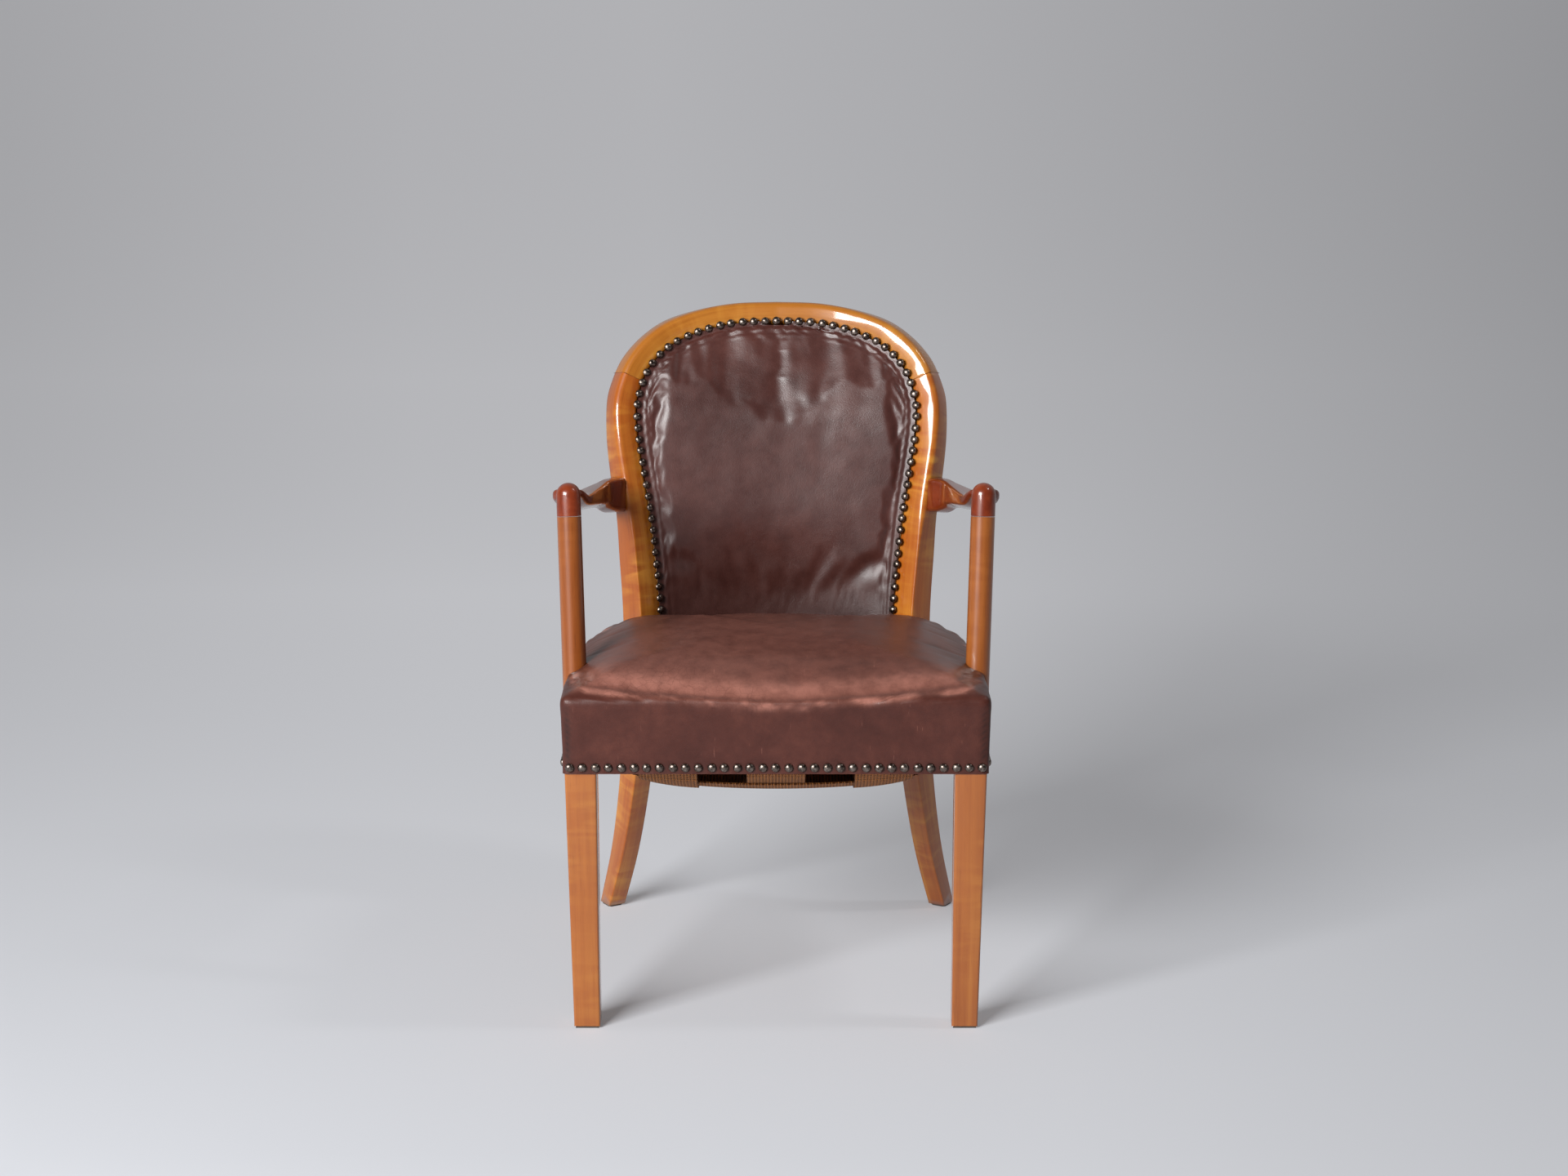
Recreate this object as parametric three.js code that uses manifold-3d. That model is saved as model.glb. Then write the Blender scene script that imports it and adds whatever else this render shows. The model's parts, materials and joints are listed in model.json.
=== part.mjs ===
// An upholstered armchair with an arched back, in millimetres, +Z up, facing -Y.
// Depths are measured back from the front of the seat until the last lines, which centre the chair.
import * as THREE from 'three';
import { mergeVertices } from 'three/addons/utils/BufferGeometryUtils.js';
import Module from 'manifold-3d';

const wasm = await Module();
wasm.setup();

// Driving dimensions of the whole chair
const seatHalfWidth = 273;
const seatDepth = 440;
const seatEdgeHeight = 436;
const seatCrown = 54;
const backHeight = 883;
const backInset = 49;
const backReach = 105;
const armHeight = 677;

// Clearances and sheet thicknesses
const fit = 0.3;
const hide = 2;
const wadding = 1.7;
const cloth = 1;
const weldTolerance = 0.0005;
const standoff = 1;

// Frame members
const railDrop = 86;
const railHeight = 62;
const railThickness = 26;
const rearRailReach = 63;
const rearRailBow = 44;
const tenonLength = 13;
const tenonThickness = 12;
const tenonShoulder = 10;
const legTop = 41;
const legFoot = 34;
const legLean = 4;
const legRounding = 3;
const legInset = 23;
const glideThickness = 3;
const glideInset = 4;
const postSection = 38;
const postRounding = 4;
const faceShown = 25;
const backStrip = 12;

// Arms and their posts
const armPostDiameter = 32;
const armPostInset = 7;
const armPostSetbackShare = 0.341;
const armPostRake = THREE.MathUtils.degToRad(9);
const armPostLean = THREE.MathUtils.degToRad(1.8);
const armPostLap = 40;
const armSeamDrop = 31;
const armCapRise = 13;
const armTenonDiameter = 18;
const armTenonLength = 22;
const armWidth = 60;
const armThickness = 18;
const armDrop = 33;
const armFlare = 11.5;
const armRounding = 5;

// Upholstery
const hemDrop = 4;
const cornerRadius = 12;
const seatBulge = 3;
const tuckGap = 33.8;
const tuckDrop = 6;
const crownCentreShare = 0.4886;
const hessianDome = 34;
const backTuck = 2;
const backPad = 20;
const lowerRailHeight = 34;
const rearPad = 6;

// Webbing and springs
const webWidth = 76;
const webThickness = 2;
const webSag = 68;
const webSpacingShare = 0.513;
const webRowSpacingShare = 0.2227;
const springWire = 3.6;
const springRadius = 36;
const springWaist = 24;
const springTurns = 3.5;

// Nails and screws
const nailDiameter = 10.3;
const nailHeight = 3.6;
const nailSpacing = 17;
const rearNailSpacing = 24;
const hemWidth = 12;
const hemThickness = 0.8;
const screwDiameter = 4.5;
const screwHead = 9;
const screwHeadHeight = 3.5;
const screwClearance = 0.25;
const dowelDiameter = 8;
const dowelLength = 36;
const blockReach = 52;

// Places that follow from the driving dimensions
const backSpread = seatHalfWidth - backInset;
const rearRailDepth = seatDepth + rearRailReach;
const crownCentre = seatDepth * crownCentreShare;
const railBottom = seatEdgeHeight - railDrop;
const railTop = railBottom + railHeight;
const hemBottom = railBottom - hemDrop;
const tuckHeight = seatEdgeHeight - tuckDrop;
const backBottom = seatEdgeHeight - backTuck;
const legReach = seatHalfWidth - legInset;
const armPostReach = seatHalfWidth - armPostInset;
const armPostBottom = railTop - armPostLap;
const armSeamHeight = armHeight - armSeamDrop;
const armCapTop = armHeight + armCapRise;
const armPostSetback = seatDepth * armPostSetbackShare;

// Finishes
function finish(color, roughness, metalness = 0) {
  return new THREE.MeshStandardMaterial({ color, roughness, metalness });
}
const orangeWood = finish(0xb5713a, 0.35);
const honeyWood = finish(0xc88c3c, 0.3);
const redWood = finish(0x964a2c, 0.3);
const plainWood = finish(0xb08a5c, 0.7);
const seatLeather = finish(0x7d4b3e, 0.45);
const backLeather = finish(0x5a332d, 0.45);
const nailMetal = finish(0x8b8078, 0.35, 0.9);
const steel = finish(0x777777, 0.4, 0.9);
const jute = finish(0xa07a48, 0.9);
const hessianCloth = finish(0x9c8256, 0.95);
const hair = finish(0x3a3028, 1);
const felt = finish(0x3b3733, 1);

const v = (x, y, z) => new THREE.Vector3(x, y, z);
const mix = THREE.MathUtils.lerp;
const xAxis = v(1, 0, 0);
const yAxis = v(0, 1, 0);
const zAxis = v(0, 0, 1);

// Solids

// Builds an indexed geometry whose faces point outwards.
function closedGeometry(points, triangles) {
  let volume = 0;
  for (const [a, b, c] of triangles) {
    volume += points[a].dot(v(0, 0, 0).crossVectors(points[b], points[c]));
  }
  const ordered = volume < 0 ? triangles.map(([a, b, c]) => [a, c, b]) : triangles;
  const geometry = new THREE.BufferGeometry();
  geometry.setAttribute('position', new THREE.Float32BufferAttribute(points.flatMap((p) => p.toArray()), 3));
  geometry.setIndex(ordered.flat());
  return geometry;
}

// Skins a row of rings with equal numbers of points and closes both ends with a fan.
function loft(rings) {
  const count = rings[0].length;
  const points = rings.flat();
  const triangles = [];
  for (let r = 0; r + 1 < rings.length; r += 1) {
    for (let i = 0; i < count; i += 1) {
      const a = r * count + i;
      const b = r * count + ((i + 1) % count);
      triangles.push([a, b, b + count], [a, b + count, a + count]);
    }
  }
  for (const [ring, turn] of [[0, 1], [rings.length - 1, 0]]) {
    const hub = points.length;
    points.push(rings[ring].reduce((sum, p) => sum.add(p), v(0, 0, 0)).divideScalar(count));
    for (let i = 0; i < count; i += 1) {
      const a = ring * count + i;
      const b = ring * count + ((i + 1) % count);
      triangles.push(turn ? [hub, b, a] : [hub, a, b]);
    }
  }
  return closedGeometry(points, triangles);
}

// Closes two grids of points, rows by columns, over the same rectangle into one sheet.
function sheet(front, back) {
  const rows = front.length;
  const columns = front[0].length;
  const points = [...front.flat(), ...back.flat()];
  const behind = rows * columns;
  const at = (r, c) => r * columns + c;
  const triangles = [];
  const quad = (a, b, c, d) => triangles.push([a, b, c], [a, c, d]);
  for (let r = 0; r + 1 < rows; r += 1) {
    for (let c = 0; c + 1 < columns; c += 1) {
      quad(at(r, c), at(r, c + 1), at(r + 1, c + 1), at(r + 1, c));
      quad(behind + at(r, c), behind + at(r + 1, c), behind + at(r + 1, c + 1), behind + at(r, c + 1));
    }
  }
  for (let r = 0; r + 1 < rows; r += 1) {
    quad(at(r, 0), at(r + 1, 0), behind + at(r + 1, 0), behind + at(r, 0));
    const last = columns - 1;
    quad(at(r + 1, last), at(r, last), behind + at(r, last), behind + at(r + 1, last));
  }
  for (let c = 0; c + 1 < columns; c += 1) {
    quad(at(0, c + 1), at(0, c), behind + at(0, c), behind + at(0, c + 1));
    const last = rows - 1;
    quad(at(last, c), at(last, c + 1), behind + at(last, c + 1), behind + at(last, c));
  }
  return closedGeometry(points, triangles);
}

// Closes loops around a centre point, listed from the rim inwards, into one shell or pad.
function domed(topLoops, topCentre, underLoops, underCentre) {
  const count = topLoops[0].length;
  const points = [...topLoops.flat(), topCentre, ...underLoops.flat(), underCentre];
  const under = topLoops.length * count + 1;
  const triangles = [];
  const skin = (first, loops, flip) => {
    for (let r = 0; r + 1 < loops; r += 1) {
      for (let i = 0; i < count; i += 1) {
        const a = first + r * count + i;
        const b = first + r * count + ((i + 1) % count);
        const pair = [[a, b, b + count], [a, b + count, a + count]];
        triangles.push(...(flip ? pair.map(([p, q, s]) => [p, s, q]) : pair));
      }
    }
    const hub = first + loops * count;
    for (let i = 0; i < count; i += 1) {
      const a = first + (loops - 1) * count + i;
      const b = first + (loops - 1) * count + ((i + 1) % count);
      triangles.push(flip ? [a, hub, b] : [a, b, hub]);
    }
  };
  skin(0, topLoops.length, false);
  skin(under, underLoops.length, true);
  for (let i = 0; i < count; i += 1) {
    const j = (i + 1) % count;
    triangles.push([j, i, under + i], [j, under + i, under + j]);
  }
  return closedGeometry(points, triangles);
}

function toSolid(geometry) {
  const bare = geometry.clone();
  bare.deleteAttribute('normal');
  bare.deleteAttribute('uv');
  const merged = mergeVertices(bare, weldTolerance);
  const vertProperties = new Float32Array(merged.attributes.position.array);
  const triVerts = new Uint32Array(merged.index.array);
  return new wasm.Manifold(new wasm.Mesh({ numProp: 3, vertProperties, triVerts }));
}

function toGeometry(solid) {
  const mesh = solid.getMesh();
  const geometry = new THREE.BufferGeometry();
  geometry.setAttribute('position', new THREE.Float32BufferAttribute(mesh.vertProperties, 3));
  geometry.setIndex([...mesh.triVerts]);
  return geometry;
}

function cut(geometry, ...tools) {
  return toGeometry(tools.reduce((solid, tool) => solid.subtract(toSolid(tool)), toSolid(geometry)));
}

function join(geometry, ...others) {
  return toGeometry(others.reduce((solid, other) => solid.add(toSolid(other)), toSolid(geometry)));
}

function mirrored(geometry) {
  const copy = geometry.index ? geometry.clone() : mergeVertices(geometry, weldTolerance);
  copy.deleteAttribute('normal');
  copy.deleteAttribute('uv');
  copy.scale(-1, 1, 1);
  const order = [...copy.index.array];
  for (let i = 0; i < order.length; i += 3) {
    [order[i], order[i + 1]] = [order[i + 1], order[i]];
  }
  copy.setIndex(order);
  return copy;
}

// A bar of round section between two points.
function bar(from, to, radius, sides = 12) {
  const along = to.clone().sub(from);
  const geometry = new THREE.CylinderGeometry(radius, radius, along.length(), sides);
  geometry.translate(0, along.length() / 2, 0);
  geometry.applyQuaternion(new THREE.Quaternion().setFromUnitVectors(yAxis, along.normalize()));
  return geometry.translate(from.x, from.y, from.z);
}

// A rounded rectangle that starts at a corner and runs `wide` along f and `deep` along o.
function section(corner, f, o, wide, deep, rounding, grow = 0, steps = 1) {
  const ring = [];
  const round = Math.min(rounding, wide / 3, deep / 3);
  const centres = [
    [round, round, Math.PI],
    [wide - round, round, Math.PI * 1.5],
    [wide - round, deep - round, 0],
    [round, deep - round, Math.PI / 2],
  ];
  for (const [a, b, start] of centres) {
    for (let i = 0; i <= steps; i += 1) {
      const angle = start + (i / steps) * (Math.PI / 2);
      const reach = round + grow;
      ring.push(
        corner.clone()
          .addScaledVector(f, a + reach * Math.cos(angle))
          .addScaledVector(o, b + reach * Math.sin(angle)),
      );
    }
  }
  return ring;
}

// Back post and crest: one swept line from the right foot to the middle of the crest.
// Each row: height, spread and reach behind the seat of the front arris, then its turn in degrees,
// its two sides as shares of the post section, and the barrel of the back there.
const postShares = [
  { up: 0, out: 1.094, back: 0.59, turn: 33, face: 0.7, deep: 0.7, barrel: 0.36 },
  { up: 0.115, out: 0.985, back: 0.263, turn: 39, face: 0.78, deep: 0.78, barrel: 0.36 },
  { up: 0.243, out: 0.902, back: -0.0485, turn: 44, face: 0.86, deep: 0.88, barrel: 0.36 },
  { up: 0.36, out: 0.858, back: -0.2042, turn: 46, face: 0.96, deep: 0.97, barrel: 0.36 },
  { up: 0.44, out: 0.848, back: -0.2405, turn: 46, face: 1, deep: 1, barrel: 0.36 },
  { up: 0.517, out: 0.848, back: -0.2301, turn: 46, face: 1, deep: 1, barrel: 0.36 },
  { up: 0.608, out: 0.879, back: -0.116, turn: 42.5, face: 1, deep: 1, barrel: 0.33 },
  { up: 0.673, out: 0.91, back: -0.0433, turn: 40, face: 1, deep: 1, barrel: 0.29 },
  { up: 0.735, out: 0.947, back: 0.0398, turn: 37, face: 0.98, deep: 1, barrel: 0.26 },
  { up: 0.793, out: 0.985, back: 0.1228, turn: 31.5, face: 0.96, deep: 1, barrel: 0.235 },
  { up: 0.843, out: 1, back: 0.2214, turn: 26, face: 0.94, deep: 0.99, barrel: 0.225 },
  { up: 0.879, out: 0.968, back: 0.3408, turn: 21, face: 0.93, deep: 0.97, barrel: 0.22 },
  { up: 0.9145, out: 0.914, back: 0.455, turn: 16, face: 0.91, deep: 0.95, barrel: 0.215 },
  { up: 0.946, out: 0.824, back: 0.5796, turn: 10, face: 0.9, deep: 0.94, barrel: 0.21 },
  { up: 0.971, out: 0.685, back: 0.7301, turn: 4, face: 0.88, deep: 0.93, barrel: 0.21 },
  { up: 0.989, out: 0.482, back: 0.865, turn: -4, face: 0.86, deep: 0.92, barrel: 0.21 },
  { up: 0.998, out: 0.254, back: 0.9637, turn: -9, face: 0.85, deep: 0.92, barrel: 0.21 },
  { up: 1, out: 0, back: 1, turn: -11, face: 0.85, deep: 0.92, barrel: 0.21 },
];

// Width of bare wood beside the leather at each row, as a share of its width at the shoulder.
const faceShares = [
  1.14, 1.14, 1.14, 1.14, 1.14, 1.13, 1.06, 1.06, 1.02, 1.01, 1, 0.99, 0.97, 0.95, 0.93, 0.91, 0.9, 0.9,
];

function smoothRow(values) {
  const curve = new THREE.CatmullRomCurve3(values, false, 'catmullrom', 0.5);
  return (t) => curve.getPoint(THREE.MathUtils.clamp(t, 0, 1));
}

const arrisAt = smoothRow(postShares.map((s) => (
  v(s.out * backSpread, seatDepth + s.back * backReach, s.up * backHeight)
)));
const sidesAt = smoothRow(postShares.map((s) => v(s.face, s.deep, s.turn)));
const panelAt = smoothRow(postShares.map((s, i) => v(faceShares[i], s.barrel, 0)));
const tangentStep = 1e-3;

// Everything that is known of the post at one place along its line.
function postAt(t) {
  const arris = arrisAt(t);
  const tangent = arrisAt(t + tangentStep).sub(arrisAt(t - tangentStep)).normalize();
  const sides = sidesAt(t);
  const panel = panelAt(t);
  const back = yAxis.clone().addScaledVector(tangent, -tangent.y).normalize();
  const inward = v(0, 0, 0).crossVectors(tangent, back).normalize();
  if (inward.x > 0 || (inward.x === 0 && inward.z > 0)) inward.negate();
  const turn = THREE.MathUtils.degToRad(sides.z);
  const f = inward.clone().multiplyScalar(Math.cos(turn)).addScaledVector(back, Math.sin(turn));
  const o = inward.clone().multiplyScalar(-Math.sin(turn)).addScaledVector(back, Math.cos(turn));
  const wide = sides.x * postSection;
  const deep = sides.y * postSection;
  const shown = panel.x * faceShown;
  return { arris, tangent, f, o, wide, deep, shown, barrel: panel.y / backSpread };
}

// The place along the post where its arris reaches a height.
function postPlace(height) {
  let low = 0;
  let high = 1;
  while (high - low > tangentStep / 100) {
    const middle = (low + high) / 2;
    if (arrisAt(middle).z < height) low = middle;
    else high = middle;
  }
  return (low + high) / 2;
}

function postRing(t, grow = 0) {
  const p = postAt(t);
  return section(p.arris, p.f, p.o, p.wide, p.deep, postRounding, grow);
}

const places = (from, to, steps) => Array.from({ length: steps + 1 }, (_, i) => mix(from, to, i / steps));
const flatFoot = (ring, height) => {
  const slope = postAt(0).tangent;
  return ring.map((p) => p.clone().addScaledVector(slope, (height - p.z) / slope.z));
};

const postSteps = 24;
const crestSteps = 11;
const seamPlace = postPlace(0.5 * (postShares[11].up + postShares[12].up) * backHeight);
const seamGap = fit / (2 * backHeight);

function backPostBody(grow = 0) {
  const rings = places(0, seamPlace - (grow ? 0 : seamGap), postSteps).map((t) => postRing(t, grow));
  rings[0] = flatFoot(rings[0], grow ? 0 : glideThickness);
  return loft(rings);
}

function crestBody() {
  const half = places(seamPlace + seamGap, 1, crestSteps).map((t) => postRing(t));
  const left = half.slice(0, -1).map((ring) => ring.map((p) => v(-p.x, p.y, p.z)));
  return loft([...left, ...half.reverse()]);
}

// Seat plan

// Right half of the seat's outline from the front corner to the back post: depth and width shares.
const planShares = [
  [0.06, 1], [0.24, 0.997], [0.44, 0.986], [0.6, 0.968], [0.74, 0.932], [0.87, 0.873], [1, 0.803],
];

const rearShare = planShares[planShares.length - 1][1];

function rearLine(x) {
  return rearRailDepth - rearRailBow * (x / (rearShare * seatHalfWidth)) ** 2;
}

// The right half outline from the middle of the front to the middle of the rear.
function halfPlan(inset = 0) {
  const points = [v(0, 0, 0)];
  const cornerX = seatHalfWidth - cornerRadius;
  points.push(v(cornerX * 0.5, 0, 0));
  for (let i = 0; i <= 3; i += 1) {
    const angle = -Math.PI / 2 + (i / 3) * (Math.PI / 2);
    points.push(v(cornerX + cornerRadius * Math.cos(angle), cornerRadius * (1 + Math.sin(angle)), 0));
  }
  for (const [deep, wide] of planShares.slice(1)) points.push(v(wide * seatHalfWidth, deep * seatDepth, 0));
  const last = rearShare * seatHalfWidth;
  for (const share of [0.92, 0.7, 0.45, 0.2, 0]) points.push(v(last * share, rearLine(last * share), 0));
  return points.map((p, i) => {
    const before = i === 0 ? v(-1, 0, 0) : points[i - 1];
    const after = i === points.length - 1 ? v(-points[i - 1].x, points[i - 1].y, 0) : points[i + 1];
    const along = after.clone().sub(before).normalize();
    return p.clone().addScaledVector(v(along.y, -along.x, 0), -inset);
  });
}

function wholePlan(inset = 0) {
  const right = halfPlan(inset);
  const left = right.slice(1, -1).reverse().map((p) => v(-p.x, p.y, p.z));
  return [...right, ...left];
}

// Smooth line that a side rail follows, at a distance inside the seat's outline.
function sideLine(inset) {
  const points = planShares.map(([deep, wide]) => v(wide * seatHalfWidth, deep * seatDepth, 0));
  const last = points[points.length - 1];
  points.push(v(last.x * 0.9, last.y + seatDepth * 0.08, 0));
  const curve = new THREE.CatmullRomCurve3(points, false, 'catmullrom', 0.5);
  return (t) => {
    const place = THREE.MathUtils.clamp(t, 0, 1);
    const along = curve.getTangent(place);
    return { point: curve.getPoint(place).addScaledVector(v(along.y, -along.x, 0), -inset), along };
  };
}

const railInset = hide + wadding + fit;
const railMiddle = railBottom + railHeight / 2;

// A rail of rectangular section along places on the floor plan.
function railBody(line, thickness, low, high, grow = 0) {
  return loft(line.map(({ point, along }) => {
    const across = v(along.y, -along.x, 0);
    const half = thickness / 2 + grow;
    return [
      v(0, 0, low - grow).add(point).addScaledVector(across, half),
      v(0, 0, high + grow).add(point).addScaledVector(across, half),
      v(0, 0, high + grow).add(point).addScaledVector(across, -half),
      v(0, 0, low - grow).add(point).addScaledVector(across, -half),
    ];
  }));
}

// Front legs

const legFaceDepth = hide + fit;
const frontLegSide = (height) => mix(legFoot, legTop, Math.min(1, height / railBottom));
const frontLegCentre = (height) => v(
  legReach - legLean * (1 - Math.min(1, height / railBottom)),
  legFaceDepth + legTop / 2,
  height,
);

function frontLegBody(grow = 0) {
  const heights = [grow ? 0 : glideThickness, railBottom / 2, railBottom, railBottom + railHeight + grow];
  return loft(heights.map((height) => {
    const side = frontLegSide(height);
    const corner = frontLegCentre(height).add(v(-side / 2, -side / 2, 0));
    return section(corner, xAxis, yAxis, side, side, legRounding, grow);
  }));
}

const legInside = frontLegCentre(railBottom).x - legTop / 2;
const legBehind = frontLegCentre(railBottom).y + legTop / 2;

// Seat rails and their tenons

const sideAt = sideLine(railInset + railThickness / 2);
const postMiddle = postAt(postPlace(railMiddle));

function placeWhere(line, reached) {
  let t = 0;
  while (t < 1 && !reached(line(t).point)) t += tangentStep;
  return t;
}

const railEndShare = 0.7;
const beyondFace = (p, normal, from) => p.clone().setZ(railMiddle).sub(from).dot(normal);
const sideEnters = placeWhere(sideAt, (p) => beyondFace(p, postMiddle.f, postMiddle.arris) > 0);
const sideTenonEnd = placeWhere(sideAt, (p) => beyondFace(p, postMiddle.f, postMiddle.arris) > tenonLength);
const sideStarts = placeWhere(sideAt, (p) => p.y > legBehind);
const sideTenonStart = placeWhere(sideAt, (p) => p.y > legBehind - tenonLength);
const sideRailEnd = placeWhere(
  sideAt, (p) => beyondFace(p, postMiddle.f, postMiddle.arris) > tenonLength * railEndShare,
);
const sideLong = places(sideStarts - (sideEnters - sideStarts) / 20, sideRailEnd, 9).map(sideAt);
const tenonLow = railBottom + tenonShoulder;
const tenonHigh = railBottom + railHeight - tenonShoulder;

const rearAt = (t) => {
  const x = t * seatHalfWidth;
  const step = seatHalfWidth * tangentStep;
  const along = v(step, rearLine(x + step) - rearLine(x), 0).normalize();
  const inset = railInset + railThickness / 2;
  return { point: v(x, rearLine(x), 0).addScaledVector(v(-along.y, along.x, 0), -inset), along };
};
const postInner = postMiddle.arris.clone().addScaledVector(postMiddle.f, postMiddle.wide);
const rearEnters = placeWhere(rearAt, (p) => beyondFace(p, postMiddle.f, postInner) < 0);
const rearTenonEnd = placeWhere(rearAt, (p) => beyondFace(p, postMiddle.f, postInner) < -tenonLength);
const rearLineOf = (end, steps) => places(-end, end, steps).map((t) => {
  const { point, along } = rearAt(Math.abs(t));
  return t < 0 ? { point: v(-point.x, point.y, 0), along: v(along.x, -along.y, 0) } : { point, along };
});

const frontRailMiddle = railInset + railThickness / 2;
const frontLine = (reach) => [-reach, reach].map((x) => ({ point: v(x, frontRailMiddle, 0), along: xAxis }));

const sideTenon = (grow) => railBody(
  places(sideTenonStart, sideTenonEnd, 8).map(sideAt), tenonThickness, tenonLow, tenonHigh, grow,
);
const rearRailSteps = 14;
const rearTenon = (grow) => railBody(
  rearLineOf(rearTenonEnd, rearRailSteps), tenonThickness, tenonLow, tenonHigh, grow,
);
const frontTenon = (grow) => railBody(
  frontLine(legInside + tenonLength), tenonThickness, tenonLow, tenonHigh, grow,
);

const frontLegs = [frontLegBody(fit), mirrored(frontLegBody(fit))];
const backPosts = [backPostBody(fit), mirrored(backPostBody(fit))];

function sideRailBody(grow = 0) {
  const rail = railBody(sideLong, railThickness, railBottom, railTop, grow);
  return cut(rail, frontLegs[0], backPosts[0]);
}

const rearRailLong = railBody(
  rearLineOf(rearEnters + tangentStep * 20, rearRailSteps), railThickness, railBottom, railTop,
);
const rearRail = join(cut(rearRailLong, ...backPosts), rearTenon(0));
const frontRail = join(
  cut(railBody(frontLine(legInside + legTop / 4), railThickness, railBottom, railTop), ...frontLegs),
  frontTenon(0),
);

// Arm posts

const armAxis = v(Math.tan(armPostLean), Math.tan(armPostRake), 1).normalize();
const armPostCentre = (height) => v(armPostReach, armPostSetback, seatEdgeHeight + seatCrown / 2)
  .addScaledVector(armAxis, (height - seatEdgeHeight - seatCrown / 2) / armAxis.z);

const armPostSides = 18;

function armPostRound(from, to, radius) {
  return bar(armPostCentre(from), armPostCentre(to), radius, armPostSides);
}

const lapGap = fit;
const lapTop = railTop + fit;
function armPostBody(grow = 0) {
  const radius = armPostDiameter / 2 + grow;
  const whole = armPostRound(armPostBottom - grow, armSeamHeight, radius);
  const lapInside = railBody(sideLong, railThickness, railBottom - railHeight, lapTop, lapGap - grow);
  return cut(whole, lapInside);
}
const armTenon = (grow) => armPostRound(
  armSeamHeight - armPostDiameter / 2, armSeamHeight + armTenonLength + grow, armTenonDiameter / 2 + grow,
);

// Arms

const armRootPlace = postPlace(armHeight - armDrop - armThickness);
const armRoot = postAt(armRootPlace);
const armRootCentre = armRoot.arris.clone().addScaledVector(armRoot.o, armRoot.deep / 2);
const armStart = armPostCentre(armHeight);

// Each row: share of the way to the back post, then the sideways flare, width, thickness and fall as shares.
const armShares = [
  { along: 0, flare: 0, wide: 0.5, thick: 0.9, fall: 0 },
  { along: 0.08, flare: 0, wide: 0.68, thick: 1, fall: 0.12 },
  { along: 0.19, flare: 0.21, wide: 0.85, thick: 1, fall: 0.33 },
  { along: 0.33, flare: 0.45, wide: 0.97, thick: 1, fall: 0.56 },
  { along: 0.48, flare: 0.73, wide: 1, thick: 1.17, fall: 0.72 },
  { along: 0.63, flare: 0.95, wide: 0.83, thick: 1.46, fall: 0.83 },
  { along: 0.77, flare: 1, wide: 0.71, thick: 1.9, fall: 0.89 },
  { along: 0.89, flare: 0.45, wide: 0.63, thick: 2.45, fall: 0.95 },
  { along: 1, flare: 0, wide: 0.6, thick: 2.85, fall: 1 },
];
const armSpan = armRootCentre.clone().sub(armStart);
const armCentreAt = smoothRow(armShares.map((s) => v(
  armStart.x + armSpan.x * s.along ** 2 + armFlare * s.flare,
  armStart.y + armSpan.y * s.along,
  armHeight + armThickness / 2 - armDrop * s.fall,
)));
const armSizeAt = smoothRow(armShares.map((s) => v(s.wide * armWidth, s.thick * armThickness, 0)));

function armRing(t) {
  const top = armCentreAt(t);
  const tangent = armCentreAt(t + tangentStep).sub(armCentreAt(t - tangentStep)).setZ(0).normalize();
  const size = armSizeAt(t);
  const across = v(tangent.y, -tangent.x, 0);
  const down = v(0, 0, -1);
  const corner = top.addScaledVector(across, -size.x / 2);
  return section(corner, across, down, size.x, size.y, armRounding);
}

function armBody() {
  const rings = places(0, 1, 12).map(armRing);
  const end = rings[rings.length - 1].map((p) => p.clone().addScaledVector(armRoot.f, armRoot.wide / 3));
  const paddle = loft([...rings, end]);
  const radius = armPostDiameter / 2;
  const capBase = armPostCentre(armSeamHeight + fit);
  const straight = armCapTop - armSeamHeight - radius;
  const domeSteps = 4;
  const profile = [new THREE.Vector2(0, 0), new THREE.Vector2(radius, 0)];
  for (let i = 0; i <= domeSteps; i += 1) {
    const angle = (i / domeSteps) * (Math.PI / 2);
    const reach = i === domeSteps ? 0 : radius * Math.cos(angle);
    profile.push(new THREE.Vector2(reach, straight + radius * Math.sin(angle)));
  }
  const cap = new THREE.LatheGeometry(profile, armPostSides);
  cap.applyQuaternion(new THREE.Quaternion().setFromUnitVectors(yAxis, armAxis));
  cap.translate(capBase.x, capBase.y, capBase.z);
  return cut(join(cap, paddle), armTenon(fit), backPosts[0]);
}

// Back panel

// One row of the panel: its two edges on the frame's face, and the curve between them.
function panelRow(t, side, strip) {
  const p = postAt(t);
  const n = side === 'front' ? p.o.clone().negate() : p.o.clone();
  const face = side === 'front' ? p.arris : p.arris.clone().addScaledVector(p.o, p.deep);
  const edge = face.clone().addScaledVector(p.f, p.shown);
  const step = edge.clone().addScaledVector(p.f, strip);
  return { edge, step, n, barrel: p.barrel };
}

const panelLow = postPlace(backBottom);
const panelHighShare = 0.985;
const panelRows = 13;
const panelColumns = 8;

// The padding rises steeply from the edges and is flat in the middle, and falls off at both ends.
const swellPower = 0.6;
const endPower = 7;
const footFallShare = 0.55;
const rowPower = 0.9;

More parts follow.
